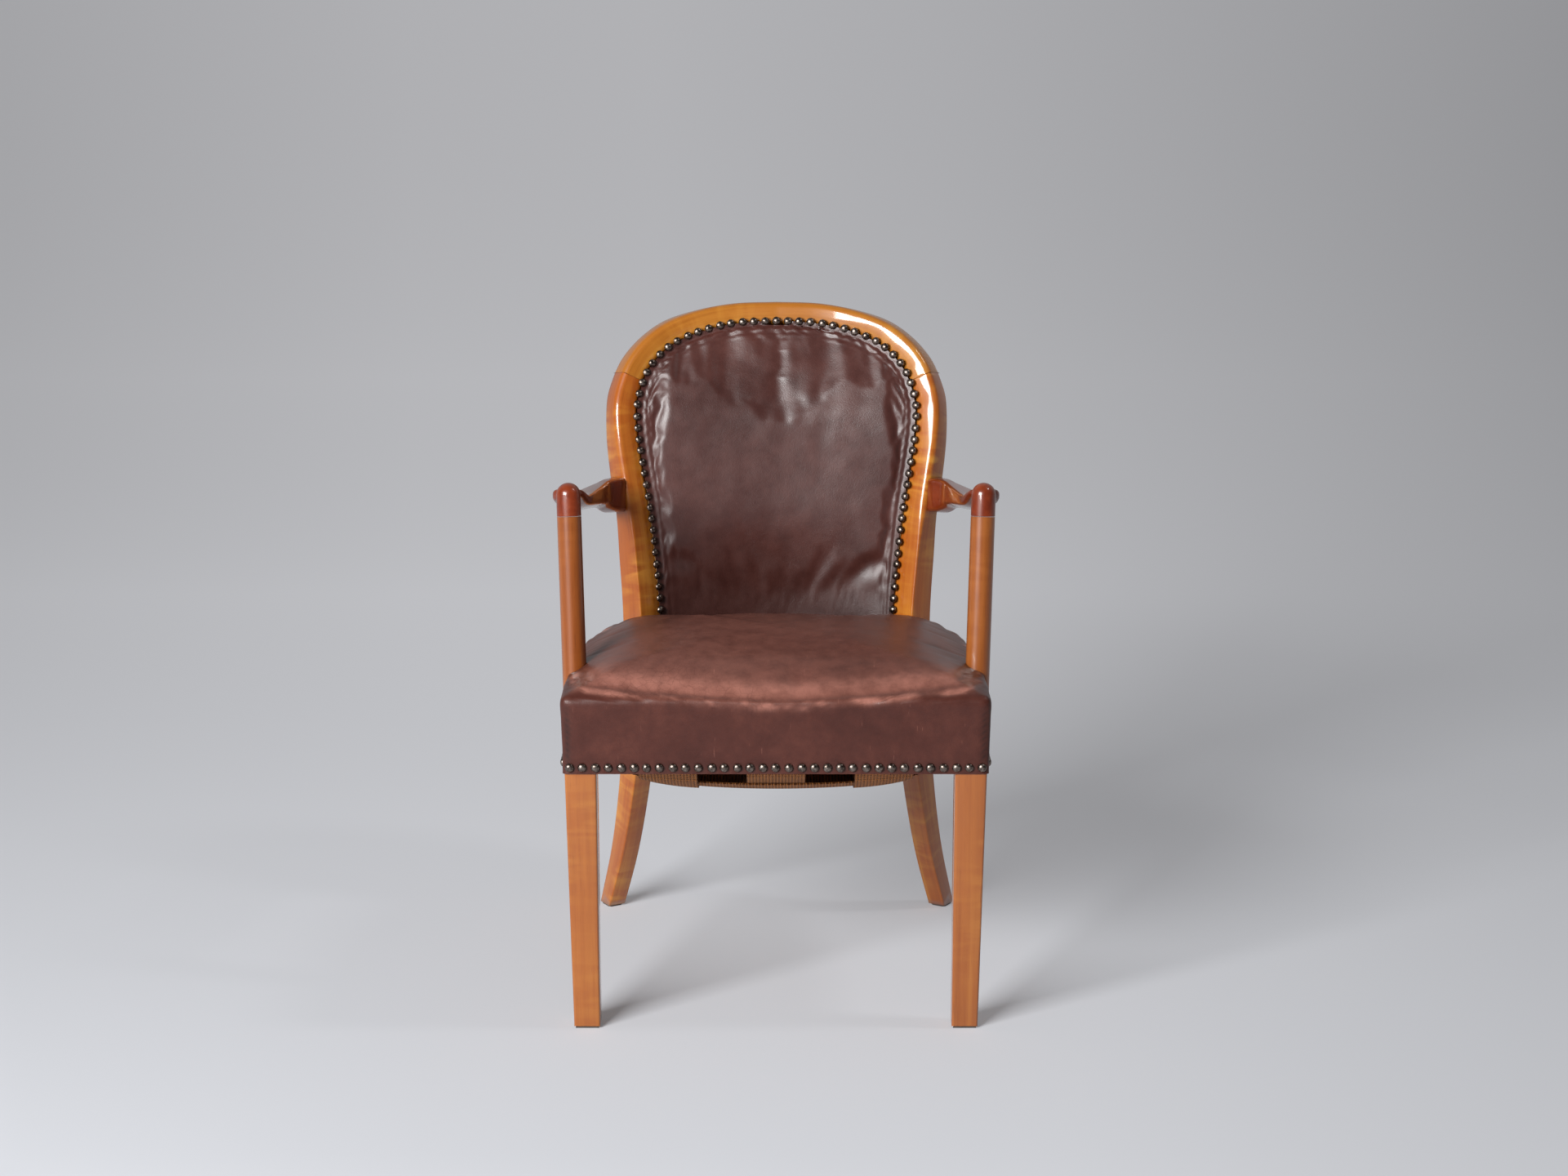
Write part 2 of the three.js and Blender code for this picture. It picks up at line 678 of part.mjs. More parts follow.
// A point of a panel surface at a distance from the frame's face, where ease lets the padding rise.
function panelPoint(row, share, lift, pad, ease, side) {
  const mirror = share < 0 ? -1 : 1;
  const across = Math.abs(share);
  const outward = side === 'front' ? v(0, -1, 0) : v(0, 1, 0);
  let point;
  let n = row.n.clone();
  if (across >= 1) {
    point = row.edge.clone().lerp(row.step, 2 - across);
  } else {
    const x = across * row.step.x;
    point = v(x, row.step.y + row.barrel * (row.step.x ** 2 - x ** 2), row.step.z);
    n = outward.clone().lerp(row.n, across ** 3).normalize();
  }
  const swell = across >= 1 ? 0 : pad * ease * (1 - across ** 2) ** swellPower;
  point.addScaledVector(n, lift + swell);
  return v(point.x * mirror, point.y, point.z);
}

// Rows from the bottom of the panel to the top of the arch, with a last short row that closes it.
function panelGrid(side, lift, pad, inset = 0) {
  const rows = [];
  for (const place of places(0, 1, panelRows)) {
    const t = mix(panelLow, panelHighShare, place ** rowPower);
    const row = panelRow(t, side, backStrip);
    if (inset) row.edge.lerp(row.step, inset);
    const ease = (1 - place ** endPower) * (1 - footFallShare * (1 - place) ** endPower);
    const inner = places(-1, 1, panelColumns).map((s) => Math.sin((s * Math.PI) / 2));
    const shares = [-2, ...inner, 2];
    rows.push(shares.map((s) => panelPoint(row, s, lift, pad, ease, side)));
  }
  const top = panelRow(panelHighShare, side, backStrip);
  if (inset) top.edge.lerp(top.step, inset);
  rows.push(rows[0].map((_, i) => {
    const share = mix(-1, 1, i / (rows[0].length - 1));
    const p = top.edge.clone().addScaledVector(top.n, lift);
    return v(p.x * share, p.y, p.z);
  }));
  return rows;
}

const hessianLift = standoff * 2;
const hessianInsetShare = 0.25;
const rearLift = standoff;
const coverLift = hessianLift + cloth + fit;
const hemLift = coverLift + hide + standoff;
const rearHemGap = standoff * 3;

function panelSheet(side, lift, thickness, pad, inset) {
  return sheet(panelGrid(side, lift + thickness, pad, inset), panelGrid(side, lift, pad, inset));
}

// Stuffing fills the room between the hessian and the leather, away from the edges.
function backStuffingBody() {
  const lift = hessianLift + cloth + fit;
  const rows = (pad, level) => {
    const grid = panelGrid('front', level, pad);
    return grid.slice(1, -3).map((row) => row.slice(2, -2));
  };
  return sheet(rows(backPad, coverLift - fit), rows(0, lift));
}

// Lower rail of the back between the two posts.
function lowerRailBody() {
  const heights = [backBottom, backBottom + lowerRailHeight];
  const rows = heights.map((height) => ['front', 'rear'].map((side) => (
    panelRow(postPlace(height), side, backStrip)
  )));
  const depth = (row, x) => row.step.y + row.barrel * (row.step.x ** 2 - x ** 2);
  const reach = rows[0][0].step.x + postSection / 4;
  const [low, high] = rows;
  return cut(loft(places(-reach, reach, 10).map((x) => [
    v(x, depth(low[0], x) + standoff, heights[0]),
    v(x, depth(low[1], x) - standoff, heights[0]),
    v(x, depth(high[1], x) - standoff, heights[1]),
    v(x, depth(high[0], x) + standoff, heights[1]),
  ])), ...backPosts);
}

// Nail rows: domes on a folded hem that follows a line

// The length of a line, and a function that gives the place at a share of that length.
function measured(line) {
  const steps = 200;
  const lengths = [0];
  for (let i = 0; i < steps; i += 1) {
    lengths.push(lengths[i] + line(i / steps).point.distanceTo(line((i + 1) / steps).point));
  }
  const length = lengths[steps];
  const placeAt = (share) => {
    const reach = share * length;
    const i = Math.min(steps - 1, Math.max(0, lengths.findIndex((l) => l > reach) - 1));
    return share >= 1 ? 1 : (i + (reach - lengths[i]) / (lengths[i + 1] - lengths[i])) / steps;
  };
  return { length, placeAt };
}

// One cell of hem per nail: six points of the dome's foot, then its top, all raised from the hem.
const domeSides = 6;

function nailRow(route, spacing = nailSpacing) {
  const { length, placeAt } = measured(route);
  const line = (share) => route(placeAt(share));
  const count = Math.round(length / spacing);
  const points = [];
  const triangles = [];
  for (let i = 0; i <= count; i += 1) {
    const { point, across, out } = line(i / count);
    for (const [side, rise] of [[-1, 0], [1, 0], [1, 1], [-1, 1]]) {
      const foot = point.clone().addScaledVector(across, (side * hemWidth) / 2);
      points.push(foot.addScaledVector(out, rise * hemThickness));
    }
  }
  const corner = (station, k) => station * 4 + k;
  const quad = (a, b, c, d) => triangles.push([a, b, c], [a, c, d]);
  quad(corner(0, 0), corner(0, 3), corner(0, 2), corner(0, 1));
  quad(corner(count, 0), corner(count, 1), corner(count, 2), corner(count, 3));
  for (let i = 0; i < count; i += 1) {
    const j = i + 1;
    quad(corner(i, 0), corner(i, 1), corner(j, 1), corner(j, 0));
    quad(corner(i, 1), corner(i, 2), corner(j, 2), corner(j, 1));
    quad(corner(i, 0), corner(j, 0), corner(j, 3), corner(i, 3));
    const { point, across, out } = line((i + 0.5) / count);
    const along = line(j / count).point.sub(line(i / count).point).normalize();
    const foot = points.length;
    for (let k = 0; k < domeSides; k += 1) {
      const angle = (k / domeSides) * 2 * Math.PI;
      points.push(point.clone()
        .addScaledVector(along, (nailDiameter / 2) * Math.cos(angle))
        .addScaledVector(across, (nailDiameter / 2) * Math.sin(angle))
        .addScaledVector(out, hemThickness));
      triangles.push([foot + k, foot + ((k + 1) % domeSides), foot + domeSides]);
    }
    points.push(point.clone().addScaledVector(out, hemThickness + nailHeight));
    const [low0, low1, high1, high0] = [corner(i, 3), corner(j, 3), corner(j, 2), corner(i, 2)];
    const feet = [0, 1, 2, 3, 4, 5].map((k) => foot + k);
    triangles.push([low1, high1, feet[0]], [high1, feet[1], feet[0]], [high0, low0, feet[3]]);
    triangles.push([high0, feet[3], feet[2]], [low0, feet[4], feet[3]], [low1, feet[0], feet[5]]);
    quad(high1, high0, feet[2], feet[1]);
    quad(low0, low1, feet[5], feet[4]);
  }
  return closedGeometry(points, triangles);
}

// The row around the arch, on the front or the rear cover.
function archLine(side, lift) {
  return (t) => {
    const half = 1 - Math.abs(2 * t - 1);
    const mirror = t < 0.5 ? -1 : 1;
    const place = mix(postPlace(backBottom + nailSpacing), 1, half);
    const row = panelRow(place, side, backStrip);
    const point = row.edge.clone().lerp(row.step, 0.5).addScaledVector(row.n, lift);
    const across = row.step.clone().sub(row.edge).normalize();
    const flip = (p) => v(p.x * mirror, p.y, p.z);
    return { point: flip(point), across: flip(across), out: flip(row.n) };
  };
}

// Rows along the bottom of the seat's leather.
const hemMiddle = hemBottom + hemWidth / 2 + fit;
const hemFront = (t) => ({
  point: v(mix(-1, 1, t) * (seatHalfWidth - cornerRadius), -fit, hemMiddle),
  across: zAxis,
  out: v(0, -1, 0),
});
const outerAt = sideLine(-standoff);
const hemSideStart = placeWhere(outerAt, (p) => p.y > cornerRadius + fit);
const hemSideEnd = placeWhere(outerAt, (p) => beyondFace(p, postMiddle.f, postMiddle.arris) > -nailHeight);
const hemSide = (t) => {
  const { point, along } = outerAt(mix(hemSideStart, hemSideEnd, t));
  return { point: point.setZ(hemMiddle), across: zAxis, out: v(along.y, -along.x, 0) };
};
const hemRearReach = rearEnters * seatHalfWidth;
const hemRear = (t) => {
  const x = mix(-1, 1, t) * hemRearReach;
  const slope = (-2 * rearRailBow * x) / (rearShare * seatHalfWidth) ** 2;
  const out = v(-slope, 1, 0).normalize();
  return { point: v(x, rearLine(x), hemMiddle).addScaledVector(out, standoff), across: zAxis, out };
};

// Seat cover, stuffing and hessian

const crownRings = [0.97, 0.89, 0.76, 0.58, 0.32];
const crownPower = 1.75;
const crownRise = (s) => Math.sqrt(1 - s ** crownPower);

// The pillow ends a little in front of the middle of the back's lower edge.
const panelFoot = panelRow(postPlace(backBottom), 'front', backStrip);
const tuckDepth = panelFoot.step.y + panelFoot.barrel * panelFoot.step.x ** 2 - tuckGap;
const rearStartShare = 0.93;
const rearEndShare = 1.06;

// How far a point of the outline belongs to the rear, where the leather is tucked under the back.
function rearness(p) {
  return THREE.MathUtils.smoothstep(p.y, seatDepth * rearStartShare, seatDepth * rearEndShare);
}

function pillowRim(inset) {
  return wholePlan(inset).map((p) => {
    const rear = rearness(p);
    const pull = mix(1, (tuckDepth - crownCentre) / (rearRailDepth - crownCentre), rear);
    const y = crownCentre + (p.y - crownCentre) * pull;
    return v(p.x, y, mix(seatEdgeHeight, tuckHeight, rear));
  });
}

function crownLoops(inset, drop) {
  const rim = pillowRim(inset);
  const loops = crownRings.map((s) => rim.map((p) => v(
    p.x * s,
    crownCentre + (p.y - crownCentre) * s,
    mix(seatEdgeHeight, p.z, s) + seatCrown * crownRise(s) - drop,
  )));
  const top = v(0, crownCentre, seatEdgeHeight + seatCrown - drop);
  return { rim: rim.map((p) => p.clone().setZ(p.z - drop)), loops, top };
}

function sideLoop(inset, height, bulge = 0) {
  const behind = Math.min(height, railTop + fit + hide);
  return wholePlan(inset - bulge).map((p) => v(p.x, p.y, mix(height, behind, rearness(p))));
}

// The sides swell towards the edge.
const swellStartShare = 0.55;
const swellFullShare = 0.91;

function seatCoverBody() {
  const outer = crownLoops(0, 0);
  const inner = crownLoops(hide, hide);
  const startHeight = mix(hemBottom, seatEdgeHeight, swellStartShare);
  const fullHeight = mix(hemBottom, seatEdgeHeight, swellFullShare);
  const top = [
    sideLoop(0, hemBottom),
    sideLoop(0, startHeight, seatBulge / 3),
    sideLoop(0, fullHeight, seatBulge),
    outer.rim,
    ...outer.loops,
  ];
  const under = [
    sideLoop(hide, hemBottom),
    sideLoop(hide, startHeight - hide / 2, seatBulge / 3),
    sideLoop(hide, fullHeight - hide, seatBulge),
    inner.rim,
    ...inner.loops,
  ];
  const whole = domed(top, outer.top, under, inner.top);
  const armPosts = [armPostBody(fit), mirrored(armPostBody(fit))];
  return cut(whole, ...armPosts, ...backPosts, ...frontLegs);
}

const seatHessianTop = (s) => railTop + fit + cloth + hessianDome * (1 - s ** 2);

const hessianRings = [1, 0.84, 0.6, 0.3];

function domeLoops(inset, height) {
  const rim = pillowRim(inset);
  return hessianRings.map((s) => rim.map((p) => v(
    p.x * s, crownCentre + (p.y - crownCentre) * s, height(s),
  )));
}

const seatInside = railInset + railThickness / 3;

function seatHessianBody() {
  const top = domeLoops(seatInside, seatHessianTop);
  const under = domeLoops(seatInside, (s) => seatHessianTop(s) - cloth);
  const crown = v(0, crownCentre, seatHessianTop(0));
  const solid = domed(top, crown, under, crown.clone().setZ(crown.z - cloth));
  return cut(solid, armPostBody(fit), mirrored(armPostBody(fit)), ...backPosts, ...frontLegs);
}

function seatStuffingBody() {
  const inset = hide + fit + wadding;
  const inner = crownLoops(inset, hide + wadding);
  const under = domeLoops(seatInside, (s) => seatHessianTop(s) + fit);
  const base = seatHessianTop(1) + fit;
  const solid = domed(
    [inner.rim.map((p) => p.clone().setZ(base + fit)), ...inner.loops.map((l) => l.map((p) => p.clone()))],
    inner.top,
    under,
    v(0, crownCentre, seatHessianTop(0) + fit),
  );
  return cut(solid, armPostBody(fit * 2), mirrored(armPostBody(fit * 2)), ...backPosts, ...frontLegs);
}

// Webbing

const webLevel = railBottom - fit - webThickness;
const webFront = railInset + fit;
const webFrontEdge = railInset + railThickness;
const webClearance = fit * 5;
const webRear = (x) => rearAt(Math.abs(x) / seatHalfWidth).point.y;
const sidePlace = (y) => sideAt(placeWhere(sideAt, (p) => p.y > y)).point.x;

// Height of the middle of the sagging webs.
function webFloor(x, y) {
  const far = webRear(x) - railThickness / 2;
  const along = THREE.MathUtils.clamp((y - webFrontEdge) / (far - webFrontEdge), 0, 1);
  const across = Math.min(1, Math.abs(x) / (sidePlace(y) - railThickness / 2));
  return webLevel - webSag * (1 - across ** 4) * 4 * along * (1 - along);
}

const webRows = [-1, 0, 1].map((i) => crownCentre + i * webRowSpacingShare * seatDepth);
const webColumns = [-1, 0, 1].map((i) => i * webSpacingShare * seatHalfWidth);

// The webs pass over and under each other in turn.
const webOver = (row, column) => ((row + column) % 2 ? 1 : -1);

function strap(stations) {
  return loft(stations.map((points) => [
    ...points,
    ...points.map((p) => v(p.x, p.y, p.z - webThickness)).reverse(),
  ]));
}

const webHalf = webWidth / 2;
const webSides = [-webHalf, 0, webHalf];
const weaveLift = (webThickness + webClearance) / 2;

function longStrap(column) {
  const x = webColumns[column];
  const end = webRear(x);
  const stations = [webFront, webFrontEdge].map((y) => ({ y, lift: 0 }));
  webRows.forEach((y, row) => {
    for (const side of webSides) stations.push({ y: y + side, lift: webOver(row, column) * weaveLift });
  });
  stations.push({ y: end - railThickness / 2 - fit, lift: 0 }, { y: end, lift: 0 });
  const web = strap(stations.map(({ y, lift }) => webSides.map((side) => {
    const height = webFloor(x + side, y) + lift;
    return v(x + side, y, Math.min(webLevel + webThickness, height));
  })));
  return cut(web, ...backPosts);
}

function crossStrap(row) {
  const y = webRows[row];
  const end = Math.min(sidePlace(y - webHalf), sidePlace(y + webHalf)) + railThickness / 3;
  const inside = end - railThickness;
  const stations = [-end, -inside].map((x) => ({ x, lift: 0 }));
  webColumns.forEach((x, column) => {
    for (const side of webSides) stations.push({ x: x + side, lift: -webOver(row, column) * weaveLift });
  });
  stations.push(...[inside, end].map((x) => ({ x, lift: 0 })));
  return strap(stations.map(({ x, lift }) => webSides.map((side) => {
    const height = webFloor(x, y + side) + lift;
    return v(x, y + side, Math.min(webLevel + webThickness, height));
  })));
}

// Springs

const springSteps = 8;
const springSides = 4;
const springClearance = fit * 4;
const endFlatShare = 0.35;

// Share of the way from the middle of the seat to its rim, beyond which the hessian lies flat.
function seatShare(x, y) {
  const rim = pillowRim(seatInside);
  const centre = v(0, crownCentre, 0);
  const place = v(x, y, 0).sub(centre);
  const share = rim.reduce((most, p, i) => {
    const edge = rim[(i + 1) % rim.length].clone().sub(p);
    const normal = v(edge.y, -edge.x, 0);
    return Math.max(most, normal.dot(place) / normal.dot(p.clone().sub(centre)));
  }, 0);
  return Math.min(1, share);
}

// An hourglass coil whose ends follow the webs below and the hessian above.
function spring(x, y) {
  const centreline = [];
  const steps = springTurns * springSteps;
  const start = Math.PI / springSteps;
  for (let i = 0; i <= steps; i += 1) {
    const share = i / steps;
    const radius = springWaist + (springRadius - springWaist) * (2 * share - 1) ** 2;
    const angle = start + (i / springSteps) * 2 * Math.PI;
    const [px, py] = [x + radius * Math.cos(angle), y + radius * Math.sin(angle)];
    const bottom = webFloor(px, py) + weaveLift + springClearance + springWire / 2;
    const top = seatHessianTop(seatShare(px, py)) - cloth - springClearance - springWire / 2;
    const climb = THREE.MathUtils.smoothstep(share, 0, 1) * endFlatShare + share * (1 - endFlatShare);
    centreline.push(v(px, py, mix(bottom, top, climb)));
  }
  const rings = centreline.map((p, i) => {
    const before = centreline[Math.max(0, i - 1)];
    const after = centreline[Math.min(steps, i + 1)];
    const along = after.clone().sub(before).normalize();
    const out = v(0, 0, 0).crossVectors(along, zAxis).normalize();
    const up = v(0, 0, 0).crossVectors(out, along);
    return Array.from({ length: springSides }, (_, k) => {
      const a = (k / springSides) * 2 * Math.PI;
      return p.clone()
        .addScaledVector(out, (springWire / 2) * Math.cos(a))
        .addScaledVector(up, (springWire / 2) * Math.sin(a));
    });
  });
  let gap = Infinity;
  for (let i = 0; i < centreline.length; i += 1) {
    for (let j = i + springSteps / 2; j < centreline.length; j += 1) {
      gap = Math.min(gap, centreline[i].distanceTo(centreline[j]));
    }
  }
  return { geometry: loft(rings), gap: gap - springWire };
}

// Screws

const screwSides = 8;

// A screw from a head point along a direction; grown copies make its hole.
function screwBody(head, direction, length, grow = 0) {
  const tip = head.clone().addScaledVector(direction, length + grow);
  const neck = head.clone().addScaledVector(direction, screwHeadHeight + grow);
  const outer = head.clone().addScaledVector(direction, -grow * 4);
  const shank = bar(head, tip, screwDiameter / 2 + grow, screwSides);
  return join(shank, bar(outer, neck, screwHead / 2 + grow, screwSides));
}

// Corner blocks

function prism(corners, low, high) {
  return loft([corners.map((p) => v(p.x, p.y, low)), corners.map((p) => v(p.x, p.y, high))]);
}

const blockFrontShare = 0.6;
const blockLow = railBottom + tenonShoulder / 2;
const blockHigh = railTop - tenonShoulder / 2;
const railGap = railThickness / 2 + fit;
const sideInner = (t) => {
  const { point, along } = sideAt(t);
  return point.clone().addScaledVector(v(along.y, -along.x, 0), -railGap);
};
const frontInnerY = frontRailMiddle + railGap;
const blockSideEnd = sideInner(placeWhere(sideAt, (p) => p.y > legBehind + blockReach * blockFrontShare));
const frontBlock = () => cut(
  prism([
    v(legInside - blockReach * blockFrontShare, frontInnerY, 0),
    v(legInside + legTop / 2, frontInnerY, 0),
    v(sideInner(sideStarts).x, legBehind, 0),
    blockSideEnd,
  ], blockLow, blockHigh),
  frontLegs[0],
  railBody(sideLong, railThickness, railBottom, railTop, fit),
);

const rearInner = (t) => {
  const { point, along } = rearAt(t);
  return point.clone().addScaledVector(v(-along.y, along.x, 0), -railGap);
};
const blockSideShare = 0.893;
const blockSidePlace = placeWhere(
  sideAt, (p) => p.y > sideAt(sideEnters).point.y - blockReach * blockSideShare,
);
const rearBlock = () => cut(
  prism([
    sideInner(blockSidePlace),
    postMiddle.arris,
    postInner.clone().addScaledVector(postMiddle.o, postMiddle.deep / 2),
    rearInner(rearEnters - blockReach / seatHalfWidth),
  ], blockLow, blockHigh),
  backPosts[0],
  railBody(sideLong, railThickness, railBottom, railTop, fit),
  railBody(rearLineOf(rearTenonEnd, rearRailSteps), railThickness, railBottom, railTop, fit),
);

// Screws of the blocks run from the middle of the block's long face into the leg behind it.
const level = (p) => p.clone().setZ(railMiddle);
const blockScrewOf = (a, b, target) => {
  const middle = a.clone().add(b).divideScalar(2).setZ(railMiddle);
  const direction = level(target).sub(middle).normalize();
  return { middle, direction };
};
const frontScrewLine = blockScrewOf(
  v(legInside - blockReach * blockFrontShare, frontInnerY, 0), blockSideEnd,
  v(legInside, legBehind, 0),
);
const rearScrewLine = blockScrewOf(
  sideInner(blockSidePlace), rearInner(rearEnters - blockReach / seatHalfWidth),
  postMiddle.arris.clone().addScaledVector(postMiddle.f, postMiddle.wide / 2)
    .addScaledVector(postMiddle.o, postMiddle.deep / 2),
);
const blockScrewLength = 34;
const blockScrew = ({ middle, direction }, grow) => screwBody(
  middle.clone().addScaledVector(direction, screwHeadHeight / 3), direction, blockScrewLength, grow,
);

// The arm is drawn up to the post by a screw, and the arm post to the side rail by another.
const armScrewHead = armRootCentre.clone().addScaledVector(armRoot.f, armRoot.wide - screwHeadHeight / 2);
const armScrewLength = postSection * 1.6;
const armScrew = (grow) => screwBody(armScrewHead, armRoot.f.clone().negate(), armScrewLength, grow);

const lapHeight = (armPostBottom + lapTop) / 2;
const lapPlace = placeWhere(sideAt, (p) => p.y > armPostCentre(lapHeight).y);
const lapOut = v(sideAt(lapPlace).along.y, -sideAt(lapPlace).along.x, 0);
const lapScrewHead = sideAt(lapPlace).point.clone().setZ(lapHeight)
  .addScaledVector(lapOut, -railThickness / 2 + screwHeadHeight / 2);
const lapScrewLength = railThickness + armPostDiameter / 4;
const lapScrew = (grow) => screwBody(lapScrewHead, lapOut, lapScrewLength, grow);

// Dowel of the crest joint, along the sweep at the seam
const seam = postAt(seamPlace);
const seamCentre = seam.arris.clone()
  .addScaledVector(seam.f, seam.wide / 2)
  .addScaledVector(seam.o, seam.deep / 2);
const dowel = (grow) => bar(
  seamCentre.clone().addScaledVector(seam.tangent, -dowelLength / 2 - grow),
  seamCentre.clone().addScaledVector(seam.tangent, dowelLength / 2 + grow),
  dowelDiameter / 2 + grow,
  12,
);

// Finished wooden pieces

const clearance = screwClearance;
const frontLeg = cut(frontLegBody(), sideTenon(fit), frontTenon(fit), blockScrew(frontScrewLine, clearance));
const backPost = cut(
  backPostBody(), sideTenon(fit), rearTenon(fit), dowel(fit), armScrew(clearance),
  blockScrew(rearScrewLine, clearance),
);
const crest = cut(crestBody(), dowel(fit), mirrored(dowel(fit)));
const sideRail = cut(join(sideRailBody(), sideTenon(0)), lapScrew(clearance));
const arm = cut(armBody(), armScrew(clearance));
const armPost = cut(join(armPostBody(), armTenon(0)), lapScrew(clearance));
const frontCorner = cut(frontBlock(), blockScrew(frontScrewLine, clearance));
const rearCorner = cut(rearBlock(), blockScrew(rearScrewLine, clearance));

// Felt glide under a foot, on the same centre as the foot
const footGlide = (centre, side) => {
  const glide = new THREE.BoxGeometry(side, side, glideThickness - fit);
  return glide.translate(centre.x, centre.y, (glideThickness - fit) / 2);
};
const foot = postAt(0);
const footRing = flatFoot(postRing(0), 0);
const footCentre = footRing.reduce((sum, p) => sum.add(p), v(0, 0, 0)).divideScalar(footRing.length);
const backGlide = () => loft([0, glideThickness - fit].map((height) => footRing.map((p) => p.clone()
  .sub(footCentre).multiplyScalar(1 - glideInset / foot.wide).add(footCentre).setZ(height))));

// Assembly

const chair = new THREE.Group();
chair.name = 'armchair';

function add(name, geometry, material) {
  const mesh = new THREE.Mesh(geometry, material);
  mesh.name = name;
  chair.add(mesh);
}

function addPair(name, geometry, material) {
  add(`${name}_right`, geometry, material);
  add(`${name}_left`, mirrored(geometry), material);
}

addPair('front_leg', frontLeg, orangeWood);
addPair('back_leg', backPost, orangeWood);
add('crest_rail', crest, honeyWood);
addPair('crest_dowel', dowel(0), plainWood);
add('back_lower_rail', lowerRailBody(), plainWood);
add('seat_rail_front', frontRail, plainWood);
add('seat_rail_rear', rearRail, plainWood);
addPair('seat_rail', sideRail, plainWood);
addPair('corner_block_front', frontCorner, plainWood);
addPair('corner_block_rear', rearCorner, plainWood);
addPair('corner_screw_front', blockScrew(frontScrewLine, 0), steel);
addPair('corner_screw_rear', blockScrew(rearScrewLine, 0), steel);
addPair('arm', arm, redWood);
addPair('arm_post', armPost, orangeWood);
addPair('arm_screw', armScrew(0), steel);
addPair('arm_post_screw', lapScrew(0), steel);
addPair('front_glide', footGlide(frontLegCentre(0), legFoot - glideInset), felt);
addPair('back_glide', backGlide(), felt);

add('seat_cover', seatCoverBody(), seatLeather);
add('seat_stuffing', seatStuffingBody(), hair);
add('seat_hessian', seatHessianBody(), hessianCloth);
for (const i of [0, 1, 2]) {
  add(`webbing_long_${i + 1}`, longStrap(i), jute);
  add(`webbing_cross_${i + 1}`, crossStrap(i), jute);
}
let leastGap = Infinity;
for (const [r, y] of webRows.entries()) {
  for (const [c, x] of webColumns.entries()) {
    const { geometry, gap } = spring(x, y);
    leastGap = Math.min(leastGap, gap);
    add(`spring_${r + 1}${c + 1}`, geometry, steel);
  }
}
console.log(`least gap between the turns of a spring: ${leastGap.toFixed(2)} mm`);

add('back_cover_front', panelSheet('front', coverLift, hide, backPad), backLeather);
add('back_stuffing', backStuffingBody(), hair);
add('back_hessian', panelSheet('front', hessianLift, cloth, 0, hessianInsetShare), hessianCloth);
add('back_cover_rear', panelSheet('rear', rearLift, hide, rearPad), backLeather);

const archFront = archLine('front', hemLift);
const archRear = archLine('rear', rearLift + hide + rearHemGap);
add('back_nails_front', nailRow(archFront), nailMetal);
add('back_nails_rear', nailRow(archRear, rearNailSpacing), nailMetal);
add('seat_nails_front', nailRow(hemFront), nailMetal);
add('seat_nails_rear', nailRow(hemRear, rearNailSpacing), nailMetal);
addPair('seat_nails', nailRow(hemSide), nailMetal);

// The origin is on the floor under the middle of the whole chair.
const bounds = new THREE.Box3().setFromObject(chair);
chair.position.y = -(bounds.min.y + bounds.max.y) / 2;
chair.updateMatrixWorld(true);

export default chair;
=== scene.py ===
import json
import math
import random
from contextlib import contextmanager

import bmesh
import bpy
from mathutils import Matrix, Vector, noise
from mathutils.kdtree import KDTree

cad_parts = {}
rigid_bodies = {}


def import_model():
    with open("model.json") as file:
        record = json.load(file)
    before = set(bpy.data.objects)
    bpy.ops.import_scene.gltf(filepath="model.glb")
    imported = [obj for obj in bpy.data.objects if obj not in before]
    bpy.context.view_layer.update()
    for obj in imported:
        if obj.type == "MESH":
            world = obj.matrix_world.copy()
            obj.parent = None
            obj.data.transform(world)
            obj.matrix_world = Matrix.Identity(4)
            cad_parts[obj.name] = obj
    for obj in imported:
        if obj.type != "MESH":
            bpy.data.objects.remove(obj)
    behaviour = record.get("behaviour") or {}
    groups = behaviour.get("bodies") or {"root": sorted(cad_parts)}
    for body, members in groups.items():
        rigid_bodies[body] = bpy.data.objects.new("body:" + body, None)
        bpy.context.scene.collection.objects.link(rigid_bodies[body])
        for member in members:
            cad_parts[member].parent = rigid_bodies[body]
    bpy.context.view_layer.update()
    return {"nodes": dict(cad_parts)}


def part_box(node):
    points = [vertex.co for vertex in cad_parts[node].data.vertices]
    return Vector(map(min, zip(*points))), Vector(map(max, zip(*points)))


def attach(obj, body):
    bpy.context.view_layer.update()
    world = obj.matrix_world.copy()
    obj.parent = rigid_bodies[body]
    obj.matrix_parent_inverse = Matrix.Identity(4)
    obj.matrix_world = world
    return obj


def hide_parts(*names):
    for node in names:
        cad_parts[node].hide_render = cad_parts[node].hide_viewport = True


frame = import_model()

# Driving sizes of the chair
SEAT_HALF_WIDTH = 0.273
SEAT_DEPTH = 0.440
SEAT_EDGE = 0.436
SEAT_CROWN = 0.054
BACK_HEIGHT = 0.883
BACK_SPREAD = 0.224
BACK_REACH = 0.105
FIT = 0.0003
HIDE = 0.002

# Frame members
RAIL_BOTTOM = 0.350
RAIL_TOP = 0.412
RAIL_THICKNESS = 0.026
RAIL_FACE_INSET = 0.004
REAR_RAIL_DEPTH = 0.503
REAR_RAIL_BOW = 0.044
LEG_TOP = 0.041
LEG_FOOT = 0.034
LEG_LEAN = 0.004
LEG_REACH = 0.250
LEG_ROUNDING = 0.003
GLIDE = 0.003
POST_SECTION = 0.038
POST_ROUNDING = 0.0022
SHOULDER_ROUNDING = 0.0085
CREST_ROUNDING = 0.009
FACE_SHOWN = 0.025
BACK_STRIP = 0.012

